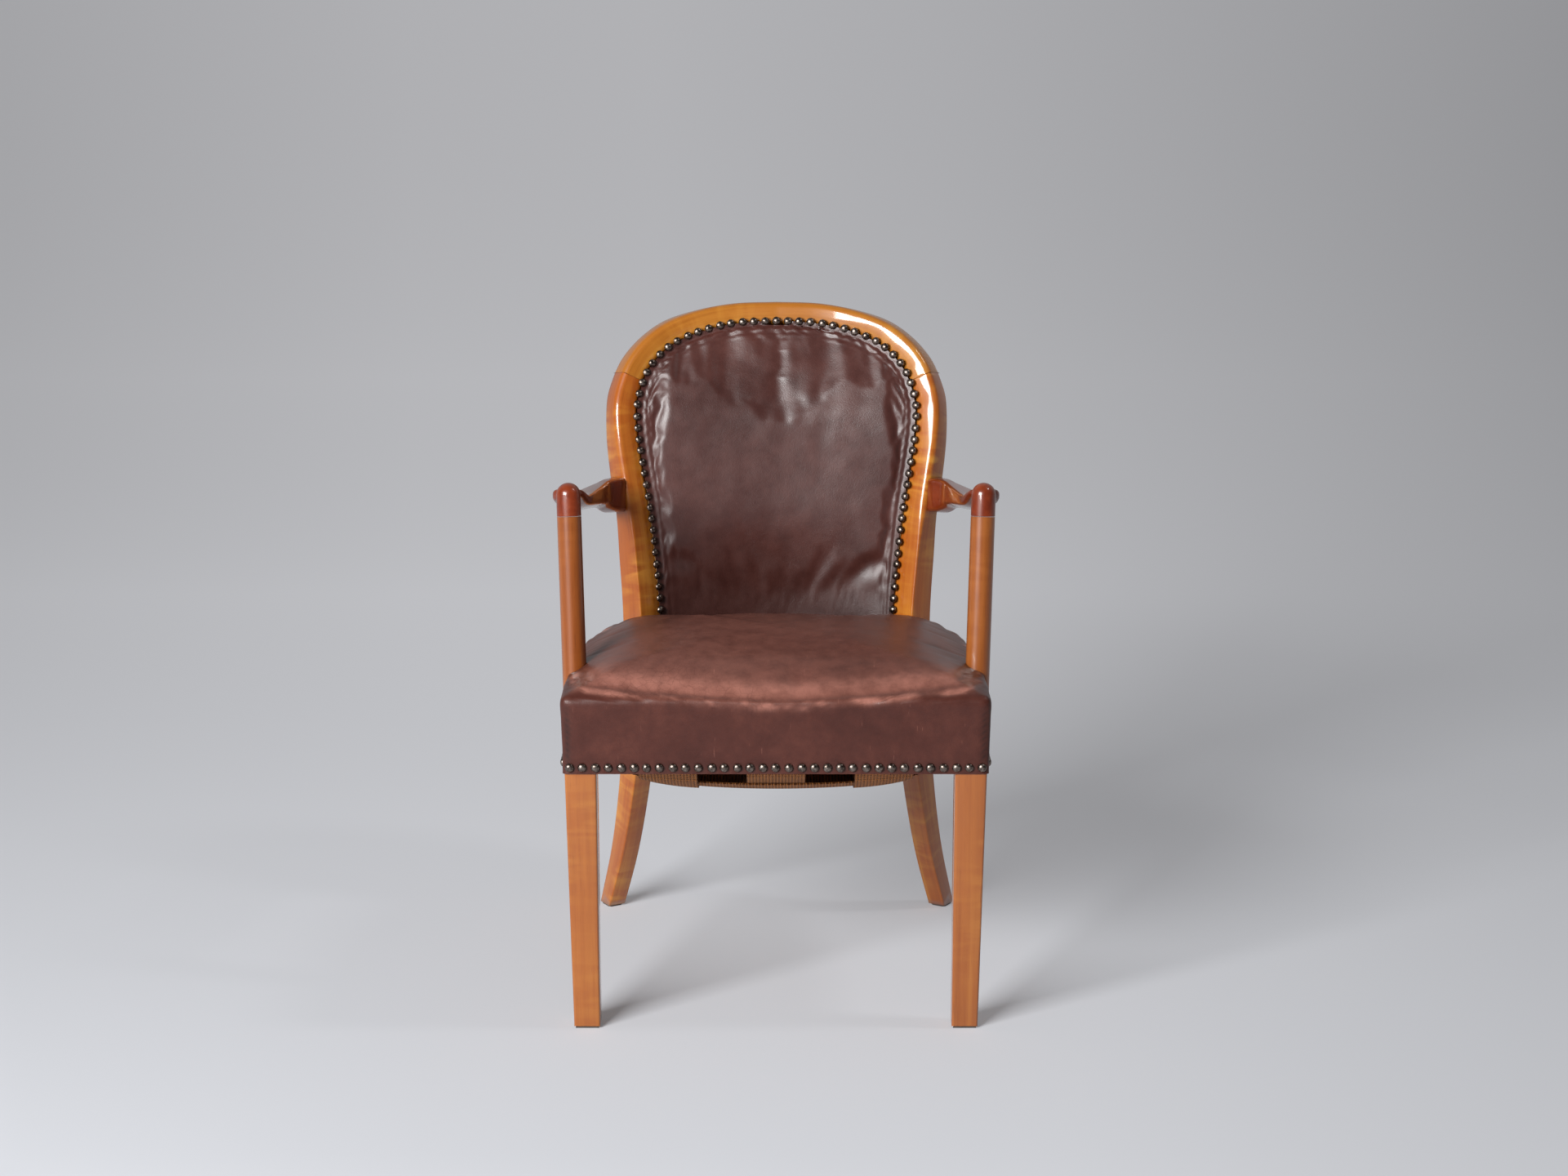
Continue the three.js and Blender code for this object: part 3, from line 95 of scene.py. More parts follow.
# Arms and their posts
ARM_POST_RADIUS = 0.016
ARM_POST_REACH = 0.266
ARM_POST_SETBACK = 0.150
ARM_POST_BOTTOM = 0.372
ARM_RAKE = math.radians(9)
ARM_LEAN = math.radians(1.8)
ARM_SEAM = 0.646
ARM_CAP_TOP = 0.690
ARM_ROOT_HEIGHT = 0.626
ARM_ROUNDING = 0.006

# Upholstery
CLOTH = 0.001
HEM_BOTTOM = 0.346
CORNER_RADIUS = 0.005
SEAT_BULGE = 0.003
TUCK_DEPTH = 0.452
TUCK_HEIGHT = 0.430
CROWN_CENTRE = 0.215
HESSIAN_DOME = 0.034
BACK_BOTTOM = 0.434
BACK_PAD = 0.030
REAR_PAD = 0.006
HESSIAN_LIFT = 0.002
COVER_LIFT = HESSIAN_LIFT + CLOTH + FIT
REAR_LIFT = 0.001

# Nails
NAIL_RADIUS = 0.0059
NAIL_HEIGHT = 0.0040
NAIL_LEVEL = 0.3545
NAIL_LIFT = 0.0003
NAIL_STRAY = 0.0006
FRONT_NAIL_SPACING = 0.0165
FRONT_NAIL_REACH = 0.2635
SIDE_NAIL_SPACING = 0.0164
SIDE_NAILS_END = 0.395
REAR_NAIL_SPACING = 0.024
ARCH_NAIL_SPACING = 0.0162

# Webbing and springs
WEB_WIDTH = 0.076
WEB_THICKNESS = 0.002
WEB_SAG = 0.068
WEB_SPACING = 0.140
WEB_ROW_SPACING = 0.098
SPRING_WIRE = 0.0036
SPRING_RADIUS = 0.036
SPRING_WAIST = 0.024
SPRING_TURNS = 3.5

# Depths below are measured from the front of the seat, which lies here in the frame.
glide_low, glide_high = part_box("front_glide_right")
LEG_CENTRE_DEPTH = HIDE + FIT + LEG_TOP / 2
SEAT_FRONT = (glide_low.y + glide_high.y) / 2 - LEG_CENTRE_DEPTH

X_AXIS, Y_AXIS, Z_AXIS = Vector((1, 0, 0)), Vector((0, 1, 0)), Vector((0, 0, 1))


def mix(a, b, share):
    return a + (b - a) * share


def clamp(value, low=0.0, high=1.0):
    return min(max(value, low), high)


def ease(low, high, value):
    share = clamp((value - low) / (high - low))
    return share * share * (3 - 2 * share)


def shares(count):
    return [i / count for i in range(count + 1)]


def smooth_row(rows):
    """A smooth line through rows of numbers, as a function of a share from 0 to 1."""
    rows = [Vector(row) for row in rows]
    rows = [rows[0] * 2 - rows[1], *rows, rows[-1] * 2 - rows[-2]]

    def at(share):
        place = clamp(share) * (len(rows) - 3)
        i = min(int(place), len(rows) - 4)
        w = place - i
        a, b, c, d = rows[i:i + 4]
        leave, arrive = (c - a) / 2, (d - b) / 2
        bend = (c - b) * 3 - leave * 2 - arrive
        return b + leave * w + bend * w ** 2 + ((b - c) * 2 + leave + arrive) * w ** 3

    return at


# Back post and crest, from the right foot to the middle of the crest. Each row: height, spread and
# reach behind the seat of the front arris, turn in degrees, two sides, barrel and bare width, as shares.
POST_ROWS = (
    (0, 1.094, 0.59, 33, 0.7, 0.7, 0.36, 1.14),
    (0.115, 0.985, 0.263, 39, 0.78, 0.78, 0.36, 1.14),
    (0.243, 0.902, -0.0485, 44, 0.86, 0.88, 0.36, 1.14),
    (0.36, 0.858, -0.2042, 46, 0.96, 0.97, 0.36, 1.14),
    (0.44, 0.848, -0.2405, 46, 1, 1, 0.36, 1.14),
    (0.517, 0.848, -0.2301, 46, 1, 1, 0.36, 1.13),
    (0.608, 0.879, -0.116, 42.5, 1, 1, 0.33, 1.06),
    (0.673, 0.91, -0.0433, 40, 1, 1, 0.29, 1.06),
    (0.735, 0.95, 0.0398, 37, 0.98, 1.08, 0.26, 1.02),
    (0.793, 0.988, 0.1228, 32, 0.96, 1.06, 0.235, 1.01),
    (0.843, 1.002, 0.2214, 26.5, 0.94, 1.03, 0.222, 1),
    (0.879, 0.977, 0.3408, 22.5, 0.93, 1.03, 0.204, 0.99),
    (0.9145, 0.92, 0.455, 17, 0.91, 1, 0.203, 0.97),
    (0.946, 0.82, 0.5796, 10, 0.9, 0.94, 0.208, 0.95),
    (0.971, 0.675, 0.7301, 4, 0.88, 0.93, 0.21, 0.93),
    (0.989, 0.47, 0.865, -4, 0.86, 0.92, 0.21, 0.91),
    (0.998, 0.254, 0.9637, -9, 0.85, 0.92, 0.21, 0.9),
    (1, 0, 1, -11, 0.85, 0.92, 0.21, 0.9),
)
post_row = smooth_row(POST_ROWS)
SMALL_STEP = 0.001


def arris_at(share):
    up, out, back = post_row(share)[:3]
    return Vector((out * BACK_SPREAD, SEAT_DEPTH + back * BACK_REACH, up * BACK_HEIGHT))


class PostPlace:
    """All that is known of the right post at one share of its line."""

    def __init__(self, share):
        self.arris = arris_at(share)
        self.along = (arris_at(share + SMALL_STEP) - arris_at(share - SMALL_STEP)).normalized()
        turn, face, deep, barrel, shown = post_row(share)[3:]
        back = (Y_AXIS - self.along * self.along.y).normalized()
        inward = self.along.cross(back).normalized()
        if inward.x > 0 or (inward.x == 0 and inward.z > 0):
            inward.negate()
        angle = math.radians(turn)
        self.face = inward * math.cos(angle) + back * math.sin(angle)
        self.deep = back * math.cos(angle) - inward * math.sin(angle)
        self.face_width = face * POST_SECTION
        self.deep_width = deep * POST_SECTION
        self.shown = shown * FACE_SHOWN
        self.barrel = barrel / BACK_SPREAD


def share_where(value_at, goal, precision=1e-6):
    """The share at which a rising value reaches its goal."""
    low, high = 0.0, 1.0
    while high - low > precision:
        middle = (low + high) / 2
        if value_at(middle) < goal:
            low = middle
        else:
            high = middle
    return low


def post_share(height):
    return share_where(lambda share: arris_at(share).z, height)


def tree_of(points):
    """Finds the nearest of the points to any place."""
    tree = KDTree(len(points))
    for i, p in enumerate(points):
        tree.insert(p, i)
    tree.balance()
    return tree


# Making pieces

def fresh():
    """Deselects all, so that the next operator acts on new work alone."""
    if bpy.context.object and bpy.context.object.mode != "OBJECT":
        bpy.ops.object.mode_set(mode="OBJECT")
    bpy.ops.object.select_all(action="DESELECT")


def pick(*pieces):
    fresh()
    for piece in pieces:
        piece.select_set(True)
    bpy.context.view_layer.objects.active = pieces[0]


def newly_made(name):
    piece = bpy.context.object
    piece.name = piece.data.name = name
    return piece


@contextmanager
def editing(piece):
    """Opens a piece in edit mode with all of it selected, and closes it again."""
    pick(piece)
    bpy.ops.object.mode_set(mode="EDIT")
    bpy.ops.mesh.select_all(action="SELECT")
    yield
    bpy.ops.object.mode_set(mode="OBJECT")


def apply_modifier(piece, kind, **values):
    pick(piece)
    modifier = piece.modifiers.new(kind.title(), kind)
    for name, value in values.items():
        setattr(modifier, name, value)
    bpy.ops.object.modifier_apply(modifier=modifier.name)


def tidy_faces(piece):
    """Merges doubles and turns every face outwards."""
    with editing(piece):
        bpy.ops.mesh.remove_doubles(threshold=1e-6)
        bpy.ops.mesh.normals_make_consistent(inside=False)


def smooth_by_angle(piece, degrees=35):
    pick(piece)
    bpy.ops.object.shade_smooth_by_angle(angle=math.radians(degrees))


def join(name, pieces):
    pick(*pieces)
    if len(pieces) > 1:
        bpy.ops.object.join()
    return newly_made(name)


def copy_of(piece, name, matrix=None):
    """A copy with its own mesh, which matrix moves or mirrors."""
    copy = piece.copy()
    copy.data = piece.data.copy()
    copy.name = copy.data.name = name
    bpy.context.scene.collection.objects.link(copy)
    if matrix is not None:
        copy.data.transform(matrix)
        if matrix.determinant() < 0:
            copy.data.flip_normals()
    return copy


MIRROR = Matrix.Scale(-1, 4, X_AXIS)
INTO_FRAME = Matrix.Translation((0, SEAT_FRONT, 0))


def settle(piece, material, slot, *nodes):
    """Gives a finished piece its material and puts it in the frame in the place of its nodes."""
    piece.data.transform(INTO_FRAME)
    piece.data.materials.clear()
    piece.data.materials.append(material)
    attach(piece, "root")
    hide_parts(*nodes)
    return piece


def settle_pair(piece, name, material, slot, *nodes):
    """The same for a piece on the right and its mirror image on the left."""
    left = copy_of(piece, f"{name}_left", MIRROR)
    offset_grain(left, 0.41)
    piece.name = piece.data.name = f"{name}_right"
    settle(piece, material, slot, *[f"{node}_right" for node in nodes])
    settle(left, material, slot, *[f"{node}_left" for node in nodes])
    return piece, left


# Swept members: a four-cornered section is extruded from station to station.

class Station:
    """One section of a member: its first corner, two sides, and how far its long edges are rounded."""

    def __init__(self, corner, wide_side, deep_side, rounding):
        self.corner = corner
        self.wide = wide_side.length
        self.deep = deep_side.length
        f = wide_side.normalized()
        o = (deep_side - f * deep_side.dot(f)).normalized()
        self.turn = Matrix((f, o, f.cross(o))).transposed()
        self.rounding = rounding


UNIT_STATION = Station(Vector((0, 0, 0)), X_AXIS, Y_AXIS, 0)


def turned_to(axis):
    side = axis.orthogonal().normalized()
    return Matrix((side, axis.cross(side), axis)).transposed()


def step_between(before, after):
    """Moves, turns and sizes the selected section from one station to the next."""
    bpy.ops.transform.translate(value=after.corner - before.corner)
    turn = (after.turn @ before.turn.transposed()).to_quaternion()
    axis, angle = turn.to_axis_angle()
    if abs(angle) > 1e-7:
        bpy.ops.transform.rotate(
            value=-angle, orient_axis="Z", orient_matrix=turned_to(axis), center_override=after.corner,
        )
    bpy.ops.transform.resize(
        value=(after.wide / before.wide, after.deep / before.deep, 1),
        orient_matrix=after.turn, center_override=after.corner,
    )


def sweep(name, stations, segments=4, end_rounding=0.0004):
    """A solid member through the stations, with its long edges rounded and its grain laid along it."""
    fresh()
    bpy.ops.mesh.primitive_plane_add(size=1, location=(0.5, 0.5, 0))
    piece = newly_made(name)
    bpy.ops.object.transform_apply(location=True)
    with editing(piece):
        step_between(UNIT_STATION, stations[0])
        for before, after in zip(stations, stations[1:]):
            bpy.ops.mesh.extrude_region_move()
            step_between(before, after)
        bpy.ops.mesh.select_all(action="SELECT")
        bpy.ops.mesh.normals_make_consistent(inside=False)
    round_edges(piece, stations, segments, end_rounding)
    lay_grain(piece, stations)
    smooth_by_angle(piece)
    return piece


def round_edges(piece, stations, segments, end_rounding):
    """Bevels each long edge by the rounding of the stations at its two ends."""
    mesh = piece.data
    widest = max(s.rounding for s in stations)
    weights = mesh.attributes.new("bevel_weight_edge", "FLOAT", "EDGE")
    for edge in mesh.edges:
        first, second = (v // 4 for v in edge.vertices)
        if first != second:
            rounding = (stations[first].rounding + stations[second].rounding) / 2
        else:
            rounding = end_rounding if first in (0, len(stations) - 1) else 0
        weights.data[edge.index].value = rounding / widest
    apply_modifier(
        piece, "BEVEL", width=widest, offset_type="OFFSET", limit_method="WEIGHT", segments=segments,
        loop_slide=False, use_clamp_overlap=False,
    )


def lay_grain(piece, stations):
    """Writes each vertex's place across and along the member, which the wood's figure follows."""
    tree = tree_of([s.corner + s.turn @ Vector((s.wide, s.deep, 0)) / 2 for s in stations])
    lengths = [0.0]
    for before, after in zip(stations, stations[1:]):
        lengths.append(lengths[-1] + (after.corner - before.corner).length)
    if "grain" in piece.data.attributes:
        piece.data.attributes.remove(piece.data.attributes["grain"])
    grain = piece.data.attributes.new("grain", "FLOAT_VECTOR", "POINT")
    last = len(stations) - 1
    for vertex in piece.data.vertices:
        i = tree.find(vertex.co)[1]
        s, run = stations[i], stations[min(i + 1, last)].corner - stations[min(i, last - 1)].corner
        across, deep, along = s.turn.transposed() @ (vertex.co - s.corner)
        along = math.copysign(1, run.dot(s.turn.col[2])) * along
        grain.data[vertex.index].vector = (across, deep, lengths[i] + along)


def offset_grain(piece, distance):
    """Moves the figure of a member along it, so that no two members show the same wood."""
    grain = piece.data.attributes.get("grain")
    if grain:
        for item in grain.data:
            item.vector = item.vector + Vector((0, 0, distance))


# Wooden members

def front_leg():
    stations = []
    for height in (GLIDE, 0.05, 0.1, 0.15, 0.2, 0.25, 0.3, RAIL_BOTTOM, RAIL_TOP):
        share = min(1, height / RAIL_BOTTOM)
        side = mix(LEG_FOOT, LEG_TOP, share)
        centre = Vector((LEG_REACH - LEG_LEAN * (1 - share), LEG_CENTRE_DEPTH, height))
        corner = centre - Vector((side, side, 0)) / 2
        stations.append(Station(corner, X_AXIS * side, Y_AXIS * side, LEG_ROUNDING))
    return sweep("front_leg", stations)


SEAM_SHARE = post_share((POST_ROWS[11][0] + POST_ROWS[12][0]) / 2 * BACK_HEIGHT)
SEAM_GAP = FIT / (2 * BACK_HEIGHT)


def post_station(share, rounding):
    p = PostPlace(share)
    return Station(p.arris, p.face * p.face_width, p.deep * p.deep_width, rounding)


def back_leg():
    top = SEAM_SHARE - SEAM_GAP
    stations = [
        post_station(top * share, mix(POST_ROUNDING, SHOULDER_ROUNDING, ease(0.76, 1, share / top)))
        for share in shares(96)
    ]
    below = PostPlace(0)
    foot = stations[0]
    lowest = Station(
        foot.corner - below.along * 0.02, foot.turn.col[0] * foot.wide, foot.turn.col[1] * foot.deep,
        foot.rounding,
    )
    piece = sweep("back_leg", [lowest, *stations])
    with editing(piece):
        bpy.ops.mesh.bisect(plane_co=(0, 0, GLIDE), plane_no=(0, 0, -1), clear_outer=True, use_fill=True)
    return piece


def crest_rail():
    right = [
        post_station(mix(SEAM_SHARE + SEAM_GAP, 1, share), mix(SHOULDER_ROUNDING, CREST_ROUNDING, share ** 0.5))
        for share in shares(60)
    ]
    left = [mirrored_station(s) for s in right[:-1]]
    return sweep("crest_rail", [*left, *reversed(right)])


def mirrored_station(s):
    flip = Matrix.Diagonal((-1, 1, 1))
    return Station(flip @ s.corner, flip @ s.turn.col[0] * s.wide, flip @ s.turn.col[1] * s.deep, s.rounding)


ARM_AXIS = Vector((math.tan(ARM_LEAN), math.tan(ARM_RAKE), 1)).normalized()
ARM_MIDDLE = Vector((ARM_POST_REACH, ARM_POST_SETBACK, SEAT_EDGE + SEAT_CROWN / 2))


def arm_post_centre(height):
    return ARM_MIDDLE + ARM_AXIS * ((height - ARM_MIDDLE.z) / ARM_AXIS.z)


ROUND_SIDES = 48
BAR_STEPS = 8


def round_bar(name, start, end, radius):
    """A round bar, extruded in even steps."""
    fresh()
    bpy.ops.mesh.primitive_circle_add(vertices=ROUND_SIDES, radius=radius, fill_type="NGON")
    piece = newly_made(name)
    spin, angle = Z_AXIS.rotation_difference((end - start).normalized()).to_axis_angle()
    with editing(piece):
        bpy.ops.transform.rotate(
            value=-angle, orient_axis="Z", orient_matrix=turned_to(spin), center_override=(0, 0, 0),
        )
        bpy.ops.transform.translate(value=start)
        for _ in range(BAR_STEPS):
            bpy.ops.mesh.extrude_region_move()
            bpy.ops.transform.translate(value=(end - start) / BAR_STEPS)
        bpy.ops.mesh.select_all(action="SELECT")
        bpy.ops.mesh.normals_make_consistent(inside=False)
    return piece


def lay_straight_grain(piece, origin, axis):
    """Writes each vertex's place across and along a straight axis."""
    turn = turned_to(axis).transposed()
    grain = piece.data.attributes.new("grain", "FLOAT_VECTOR", "POINT")
    for vertex in piece.data.vertices:
        grain.data[vertex.index].vector = turn @ (vertex.co - origin)


def arm_post():
    piece = round_bar("arm_post", arm_post_centre(ARM_POST_BOTTOM), arm_post_centre(ARM_SEAM), ARM_POST_RADIUS)
    cut_lap(piece)
    lay_straight_grain(piece, arm_post_centre(ARM_SEAM), ARM_AXIS)
    smooth_by_angle(piece)
    return piece


def cut_lap(piece):
    """Takes off the part of the post that would lie in the side rail."""
    outer = side_line(RAIL_FACE_INSET - FIT)
    near = min(shares(200), key=lambda t: abs(outer(t)[0].y - ARM_POST_SETBACK))
    point, along = outer(near)
    across = Vector((along.y, -along.x, 0))
    size = 0.08
    fresh()
    bpy.ops.mesh.primitive_cube_add(size=size)
    block = bpy.context.object
    turn = Matrix((across, along, Z_AXIS)).transposed().to_4x4()
    middle = Vector((point.x, point.y, RAIL_TOP + FIT - size / 2)) - across * size / 2
    block.data.transform(Matrix.Translation(middle) @ turn)
    apply_modifier(piece, "BOOLEAN", object=block, operation="DIFFERENCE", solver="EXACT")
    bpy.data.objects.remove(block)


# Each row of the arm, from its cap to the back post: place behind the seat's front edge, inner side and
# outer side from the middle of the chair, top, and thickness at the inner and at the outer side.
ARM_ROWS = (
    (0.184, 0.262, 0.2835, 0.683, 0.012, 0.014),
    (0.2, 0.2532, 0.2945, 0.678, 0.01, 0.0165),
    (0.235, 0.2479, 0.287, 0.6655, 0.014, 0.0215),
    (0.265, 0.2443, 0.2799, 0.661, 0.017, 0.0255),
    (0.3, 0.241, 0.2717, 0.658, 0.0205, 0.0288),
    (0.335, 0.2375, 0.264, 0.6555, 0.024, 0.0315),
    (0.37, 0.2345, 0.2568, 0.653, 0.027, 0.0345),
    (0.395, 0.2315, 0.2515, 0.6512, 0.0305, 0.0385),
    (0.412, 0.2262, 0.248, 0.6505, 0.0385, 0.044),
    (0.43, 0.2165, 0.244, 0.6495, 0.045, 0.0485),
    (0.455, 0.207, 0.237, 0.647, 0.0485, 0.0506),
    (0.485, 0.2, 0.231, 0.6445, 0.05, 0.051),
)
arm_row = smooth_row(ARM_ROWS)
arm_root = PostPlace(post_share(ARM_ROOT_HEIGHT))


def arm_station(share):
    along, inner, outer, top, _, thick = arm_row(share)
    return Station(Vector((inner, along, top)), X_AXIS * (outer - inner), -Z_AXIS * thick, ARM_ROUNDING)


def arm_row_at(depth):
    return arm_row(share_where(lambda share: arm_row(share)[0], depth, 1e-4))


def thin_inner_side(piece):
    """Draws the lower inner edge up, so that the arm is thinner towards the sitter."""
    for vertex in piece.data.vertices:
        _, inner, outer, top, thin, thick = arm_row_at(vertex.co.y)
        across = clamp((vertex.co.x - inner) / (outer - inner))
        down = clamp((top - vertex.co.z) / thick)
        vertex.co.z += down * (1 - across) * (thick - thin)
    piece.data.update()


def arm_cap():
    """The rounded block on the arm post: the upper half of a ball, drawn down to the seam."""
    fresh()
    bpy.ops.mesh.primitive_uv_sphere_add(segments=ROUND_SIDES, ring_count=24, radius=ARM_POST_RADIUS)
    cap = newly_made("arm_cap")
    drop = ARM_CAP_TOP - ARM_SEAM - FIT / 4 - ARM_POST_RADIUS
    with editing(cap):
        bpy.ops.mesh.bisect(plane_co=(0, 0, 1e-5), plane_no=(0, 0, -1), clear_outer=True)
        bpy.ops.mesh.extrude_region_move(TRANSFORM_OT_translate={"value": (0, 0, -drop)})
        bpy.ops.mesh.edge_face_add()
    turn = Z_AXIS.rotation_difference(ARM_AXIS).to_matrix().to_4x4()
    top = arm_post_centre(ARM_CAP_TOP) - ARM_AXIS * ARM_POST_RADIUS
    cap.data.transform(Matrix.Translation(top) @ turn)
    tidy_faces(cap)
    return cap


def arm():
    stations = [arm_station(share) for share in shares(66)]
    piece = sweep("arm", stations, segments=5)
    thin_inner_side(piece)
    cap = arm_cap()
    apply_modifier(piece, "BOOLEAN", object=cap, operation="UNION", solver="EXACT")
    bpy.data.objects.remove(cap)
    with editing(piece):
        bpy.ops.mesh.bisect(
            plane_co=arm_root.arris - arm_root.face * FIT, plane_no=arm_root.face,
            clear_outer=True, use_fill=True,
        )
    lay_grain(piece, stations)
    smooth_by_angle(piece, 40)
    return piece


# Seat outline

PLAN_ROWS = ((0.06, 1), (0.24, 0.997), (0.44, 0.986), (0.6, 0.968), (0.74, 0.932), (0.87, 0.873), (1, 0.803))
REAR_WIDTH = PLAN_ROWS[-1][1] * SEAT_HALF_WIDTH
OUTLINE_FRONT, OUTLINE_CORNER, OUTLINE_SIDE, OUTLINE_REAR = 50, 8, 90, 40


class Line:
    """A line through points, read by the share of its length."""

    def __init__(self, points):
        self.points = [Vector(p) for p in points]
        self.lengths = [0.0]
        for a, b in zip(self.points, self.points[1:]):
            self.lengths.append(self.lengths[-1] + (b - a).length)
        self.length = self.lengths[-1]

    def at(self, share):
        reach = clamp(share) * self.length
        low, high = 0, len(self.lengths) - 1
        while high - low > 1:
            middle = (low + high) // 2
            if self.lengths[middle] <= reach:
                low = middle
            else:
                high = middle
        span = self.lengths[high] - self.lengths[low]
        return self.points[low].lerp(self.points[high], (reach - self.lengths[low]) / span if span else 0)


def rear_line(x):
    return REAR_RAIL_DEPTH - REAR_RAIL_BOW * (x / REAR_WIDTH) ** 2


def side_line(inset):
    """The right edge of the seat, front to rear, at a distance inside its outline."""
    points = [(wide * SEAT_HALF_WIDTH, deep * SEAT_DEPTH, 0) for deep, wide in PLAN_ROWS]
    points.append((points[-1][0] * 0.9, points[-1][1] + SEAT_DEPTH * 0.08, 0))
    curve = smooth_row(points)

    def at(share):
        share = clamp(share)
        along = (curve(share + SMALL_STEP) - curve(share - SMALL_STEP)).normalized()
        return curve(share) - Vector((along.y, -along.x, 0)) * inset, along

    return at


def half_plan():
    """The right half of the seat's outline from the middle of its front to the middle of its rear."""
    corner_x = SEAT_HALF_WIDTH - CORNER_RADIUS
    points = [Vector((corner_x * share, 0, 0)) for share in shares(OUTLINE_FRONT)]
    for share in shares(OUTLINE_CORNER)[1:]:
        angle = (share - 1) * math.pi / 2
        points.append(Vector((
            corner_x + CORNER_RADIUS * math.cos(angle), CORNER_RADIUS * (1 + math.sin(angle)), 0,
        )))
    side = side_line(0)
    last = (len(PLAN_ROWS) - 1) / len(PLAN_ROWS)
    edge = [side(last * share)[0] for share in shares(OUTLINE_SIDE)]
    points += [p for p in edge if p.y > CORNER_RADIUS * 1.5]
    for share in shares(OUTLINE_REAR)[1:]:
        x = REAR_WIDTH * (1 - share)
        points.append(Vector((x, rear_line(x), 0)))
    return points


class Outline(Line):
    """The whole outline, read from the middle of the front round by the right."""

    STEPS = 2000

    def __init__(self):
        right = half_plan()
        left = [Vector((-p.x, p.y, 0)) for p in reversed(right[1:-1])]
        super().__init__([*right, *left, right[0]])
        self.front_corner = self.lengths[OUTLINE_FRONT + OUTLINE_CORNER // 2] / self.length
        self.rear_corner = self.lengths[len(right) - 1 - OUTLINE_REAR] / self.length
        self.tree = tree_of([self.at(i / self.STEPS) for i in range(self.STEPS)])

    def at(self, share):
        return super().at(share % 1)

    def outward(self, share):
        step = 0.002
        along = (self.at(share + step) - self.at(share - step)).normalized()
        return Vector((along.y, -along.x, 0))

    def share_near(self, p):
        return self.tree.find((p.x, p.y, 0))[1] / self.STEPS


outline = Outline()


def rearness(y):
    """How far a point belongs to the rear, where the leather is tucked under the back."""
    return ease(SEAT_DEPTH * 0.93, SEAT_DEPTH * 1.06, y)


def pillow_rim(share, inset=0.0):
    p = outline.at(share) - outline.outward(share) * inset
    rear = rearness(p.y)
    pull = mix(1, (TUCK_DEPTH - CROWN_CENTRE) / (REAR_RAIL_DEPTH - CROWN_CENTRE), rear)
    return Vector((p.x, CROWN_CENTRE + (p.y - CROWN_CENTRE) * pull, mix(SEAT_EDGE, TUCK_HEIGHT, rear)))


def side_point(share, height, bulge):
    p = outline.at(share) + outline.outward(share) * bulge
    behind = min(height, RAIL_TOP + FIT + HIDE)
    return Vector((p.x, p.y, mix(height, behind, rearness(p.y))))


def crown_point(share, ring):
    rim = pillow_rim(share)
    rise = SEAT_CROWN * math.sqrt(max(0, 1 - ring ** 1.75))
    return Vector((
        rim.x * ring, CROWN_CENTRE + (rim.y - CROWN_CENTRE) * ring, mix(SEAT_EDGE, rim.z, ring) + rise,
    ))


def roll_point(share, rise, outset):
    """A point of the hard roll along the front and side edges; at the rear it lies on the tucked rim."""
    rim = pillow_rim(share)
    hard = 1 - rearness(outline.at(share).y)
    return rim + (outline.outward(share) * outset + Z_AXIS * rise) * hard


def seat_profile(share):
    """The leather's line from the hem over the edge to the middle of the seat."""
    rows = [
        side_point(share, HEM_BOTTOM, 0),
        side_point(share, mix(HEM_BOTTOM, SEAT_EDGE, 0.3), SEAT_BULGE / 8),
        side_point(share, mix(HEM_BOTTOM, SEAT_EDGE, 0.6), SEAT_BULGE / 3),
        side_point(share, mix(HEM_BOTTOM, SEAT_EDGE, 0.84), SEAT_BULGE / 1.7),
        roll_point(share, 0.001, SEAT_BULGE),
        roll_point(share, 0.0075, SEAT_BULGE * 0.6),
        roll_point(share, 0.0115, -0.003),
    ]
    rows += [crown_point(share, ring) for ring in (0.958, 0.89, 0.76, 0.58, 0.32, 0)]
    curve = smooth_row(rows)
    return Line([curve(place) for place in shares(72)])


def hessian_level(ring):
    return RAIL_TOP + FIT + CLOTH + HESSIAN_DOME * (1 - ring ** 2)


def hessian_point(share, ring):
    rim = pillow_rim(share, RAIL_FACE_INSET + RAIL_THICKNESS / 3)
    return Vector((rim.x * ring, CROWN_CENTRE + (rim.y - CROWN_CENTRE) * ring, hessian_level(ring)))


# The square's corners fall on the seat's corners, and its sides on the seat's sides.
CORNER_SHARES = (
    -outline.front_corner, outline.front_corner, outline.rear_corner, 1 - outline.rear_corner,
    1 - outline.front_corner,
)


def square_place(i, j):
    """Ring and share of the outline for a grid corner counted from the middle of the grid."""
    ring = max(abs(i), abs(j))
    if ring == 0:
        return 0, 0.0
    if j == -ring:
        side, along = 0, i / ring
    elif i == ring:
        side, along = 1, j / ring
    elif j == ring:
        side, along = 2, -i / ring
    else:
        side, along = 3, -j / ring
    return ring, mix(CORNER_SHARES[side], CORNER_SHARES[side + 1], (along + 1) / 2)


class SeatTable:
    """Points of the seat's surface, worked out once and read between them."""

    AROUND, OVER = 480, 60

    def __init__(self, profile):
        lines = [profile(i / self.AROUND) for i in range(self.AROUND)]
        self.rows = [[line.at(place) for place in shares(self.OVER)] for line in lines]

    def at(self, share, place):
        i, w = divmod((share % 1) * self.AROUND, 1)
        j, u = divmod(clamp(place) * self.OVER, 1)
        here, there = self.rows[int(i) % self.AROUND], self.rows[(int(i) + 1) % self.AROUND]
        a, b = int(j), min(int(j) + 1, self.OVER)
        return here[a].lerp(here[b], u).lerp(there[a].lerp(there[b], u), w)


def add_grid(name, columns, rows):
    """A flat grid from -1 to 1 each way, whose vertices are then laid on a surface."""
    fresh()
    bpy.ops.mesh.primitive_grid_add(x_subdivisions=columns, y_subdivisions=rows, size=2)
    return newly_made(name)


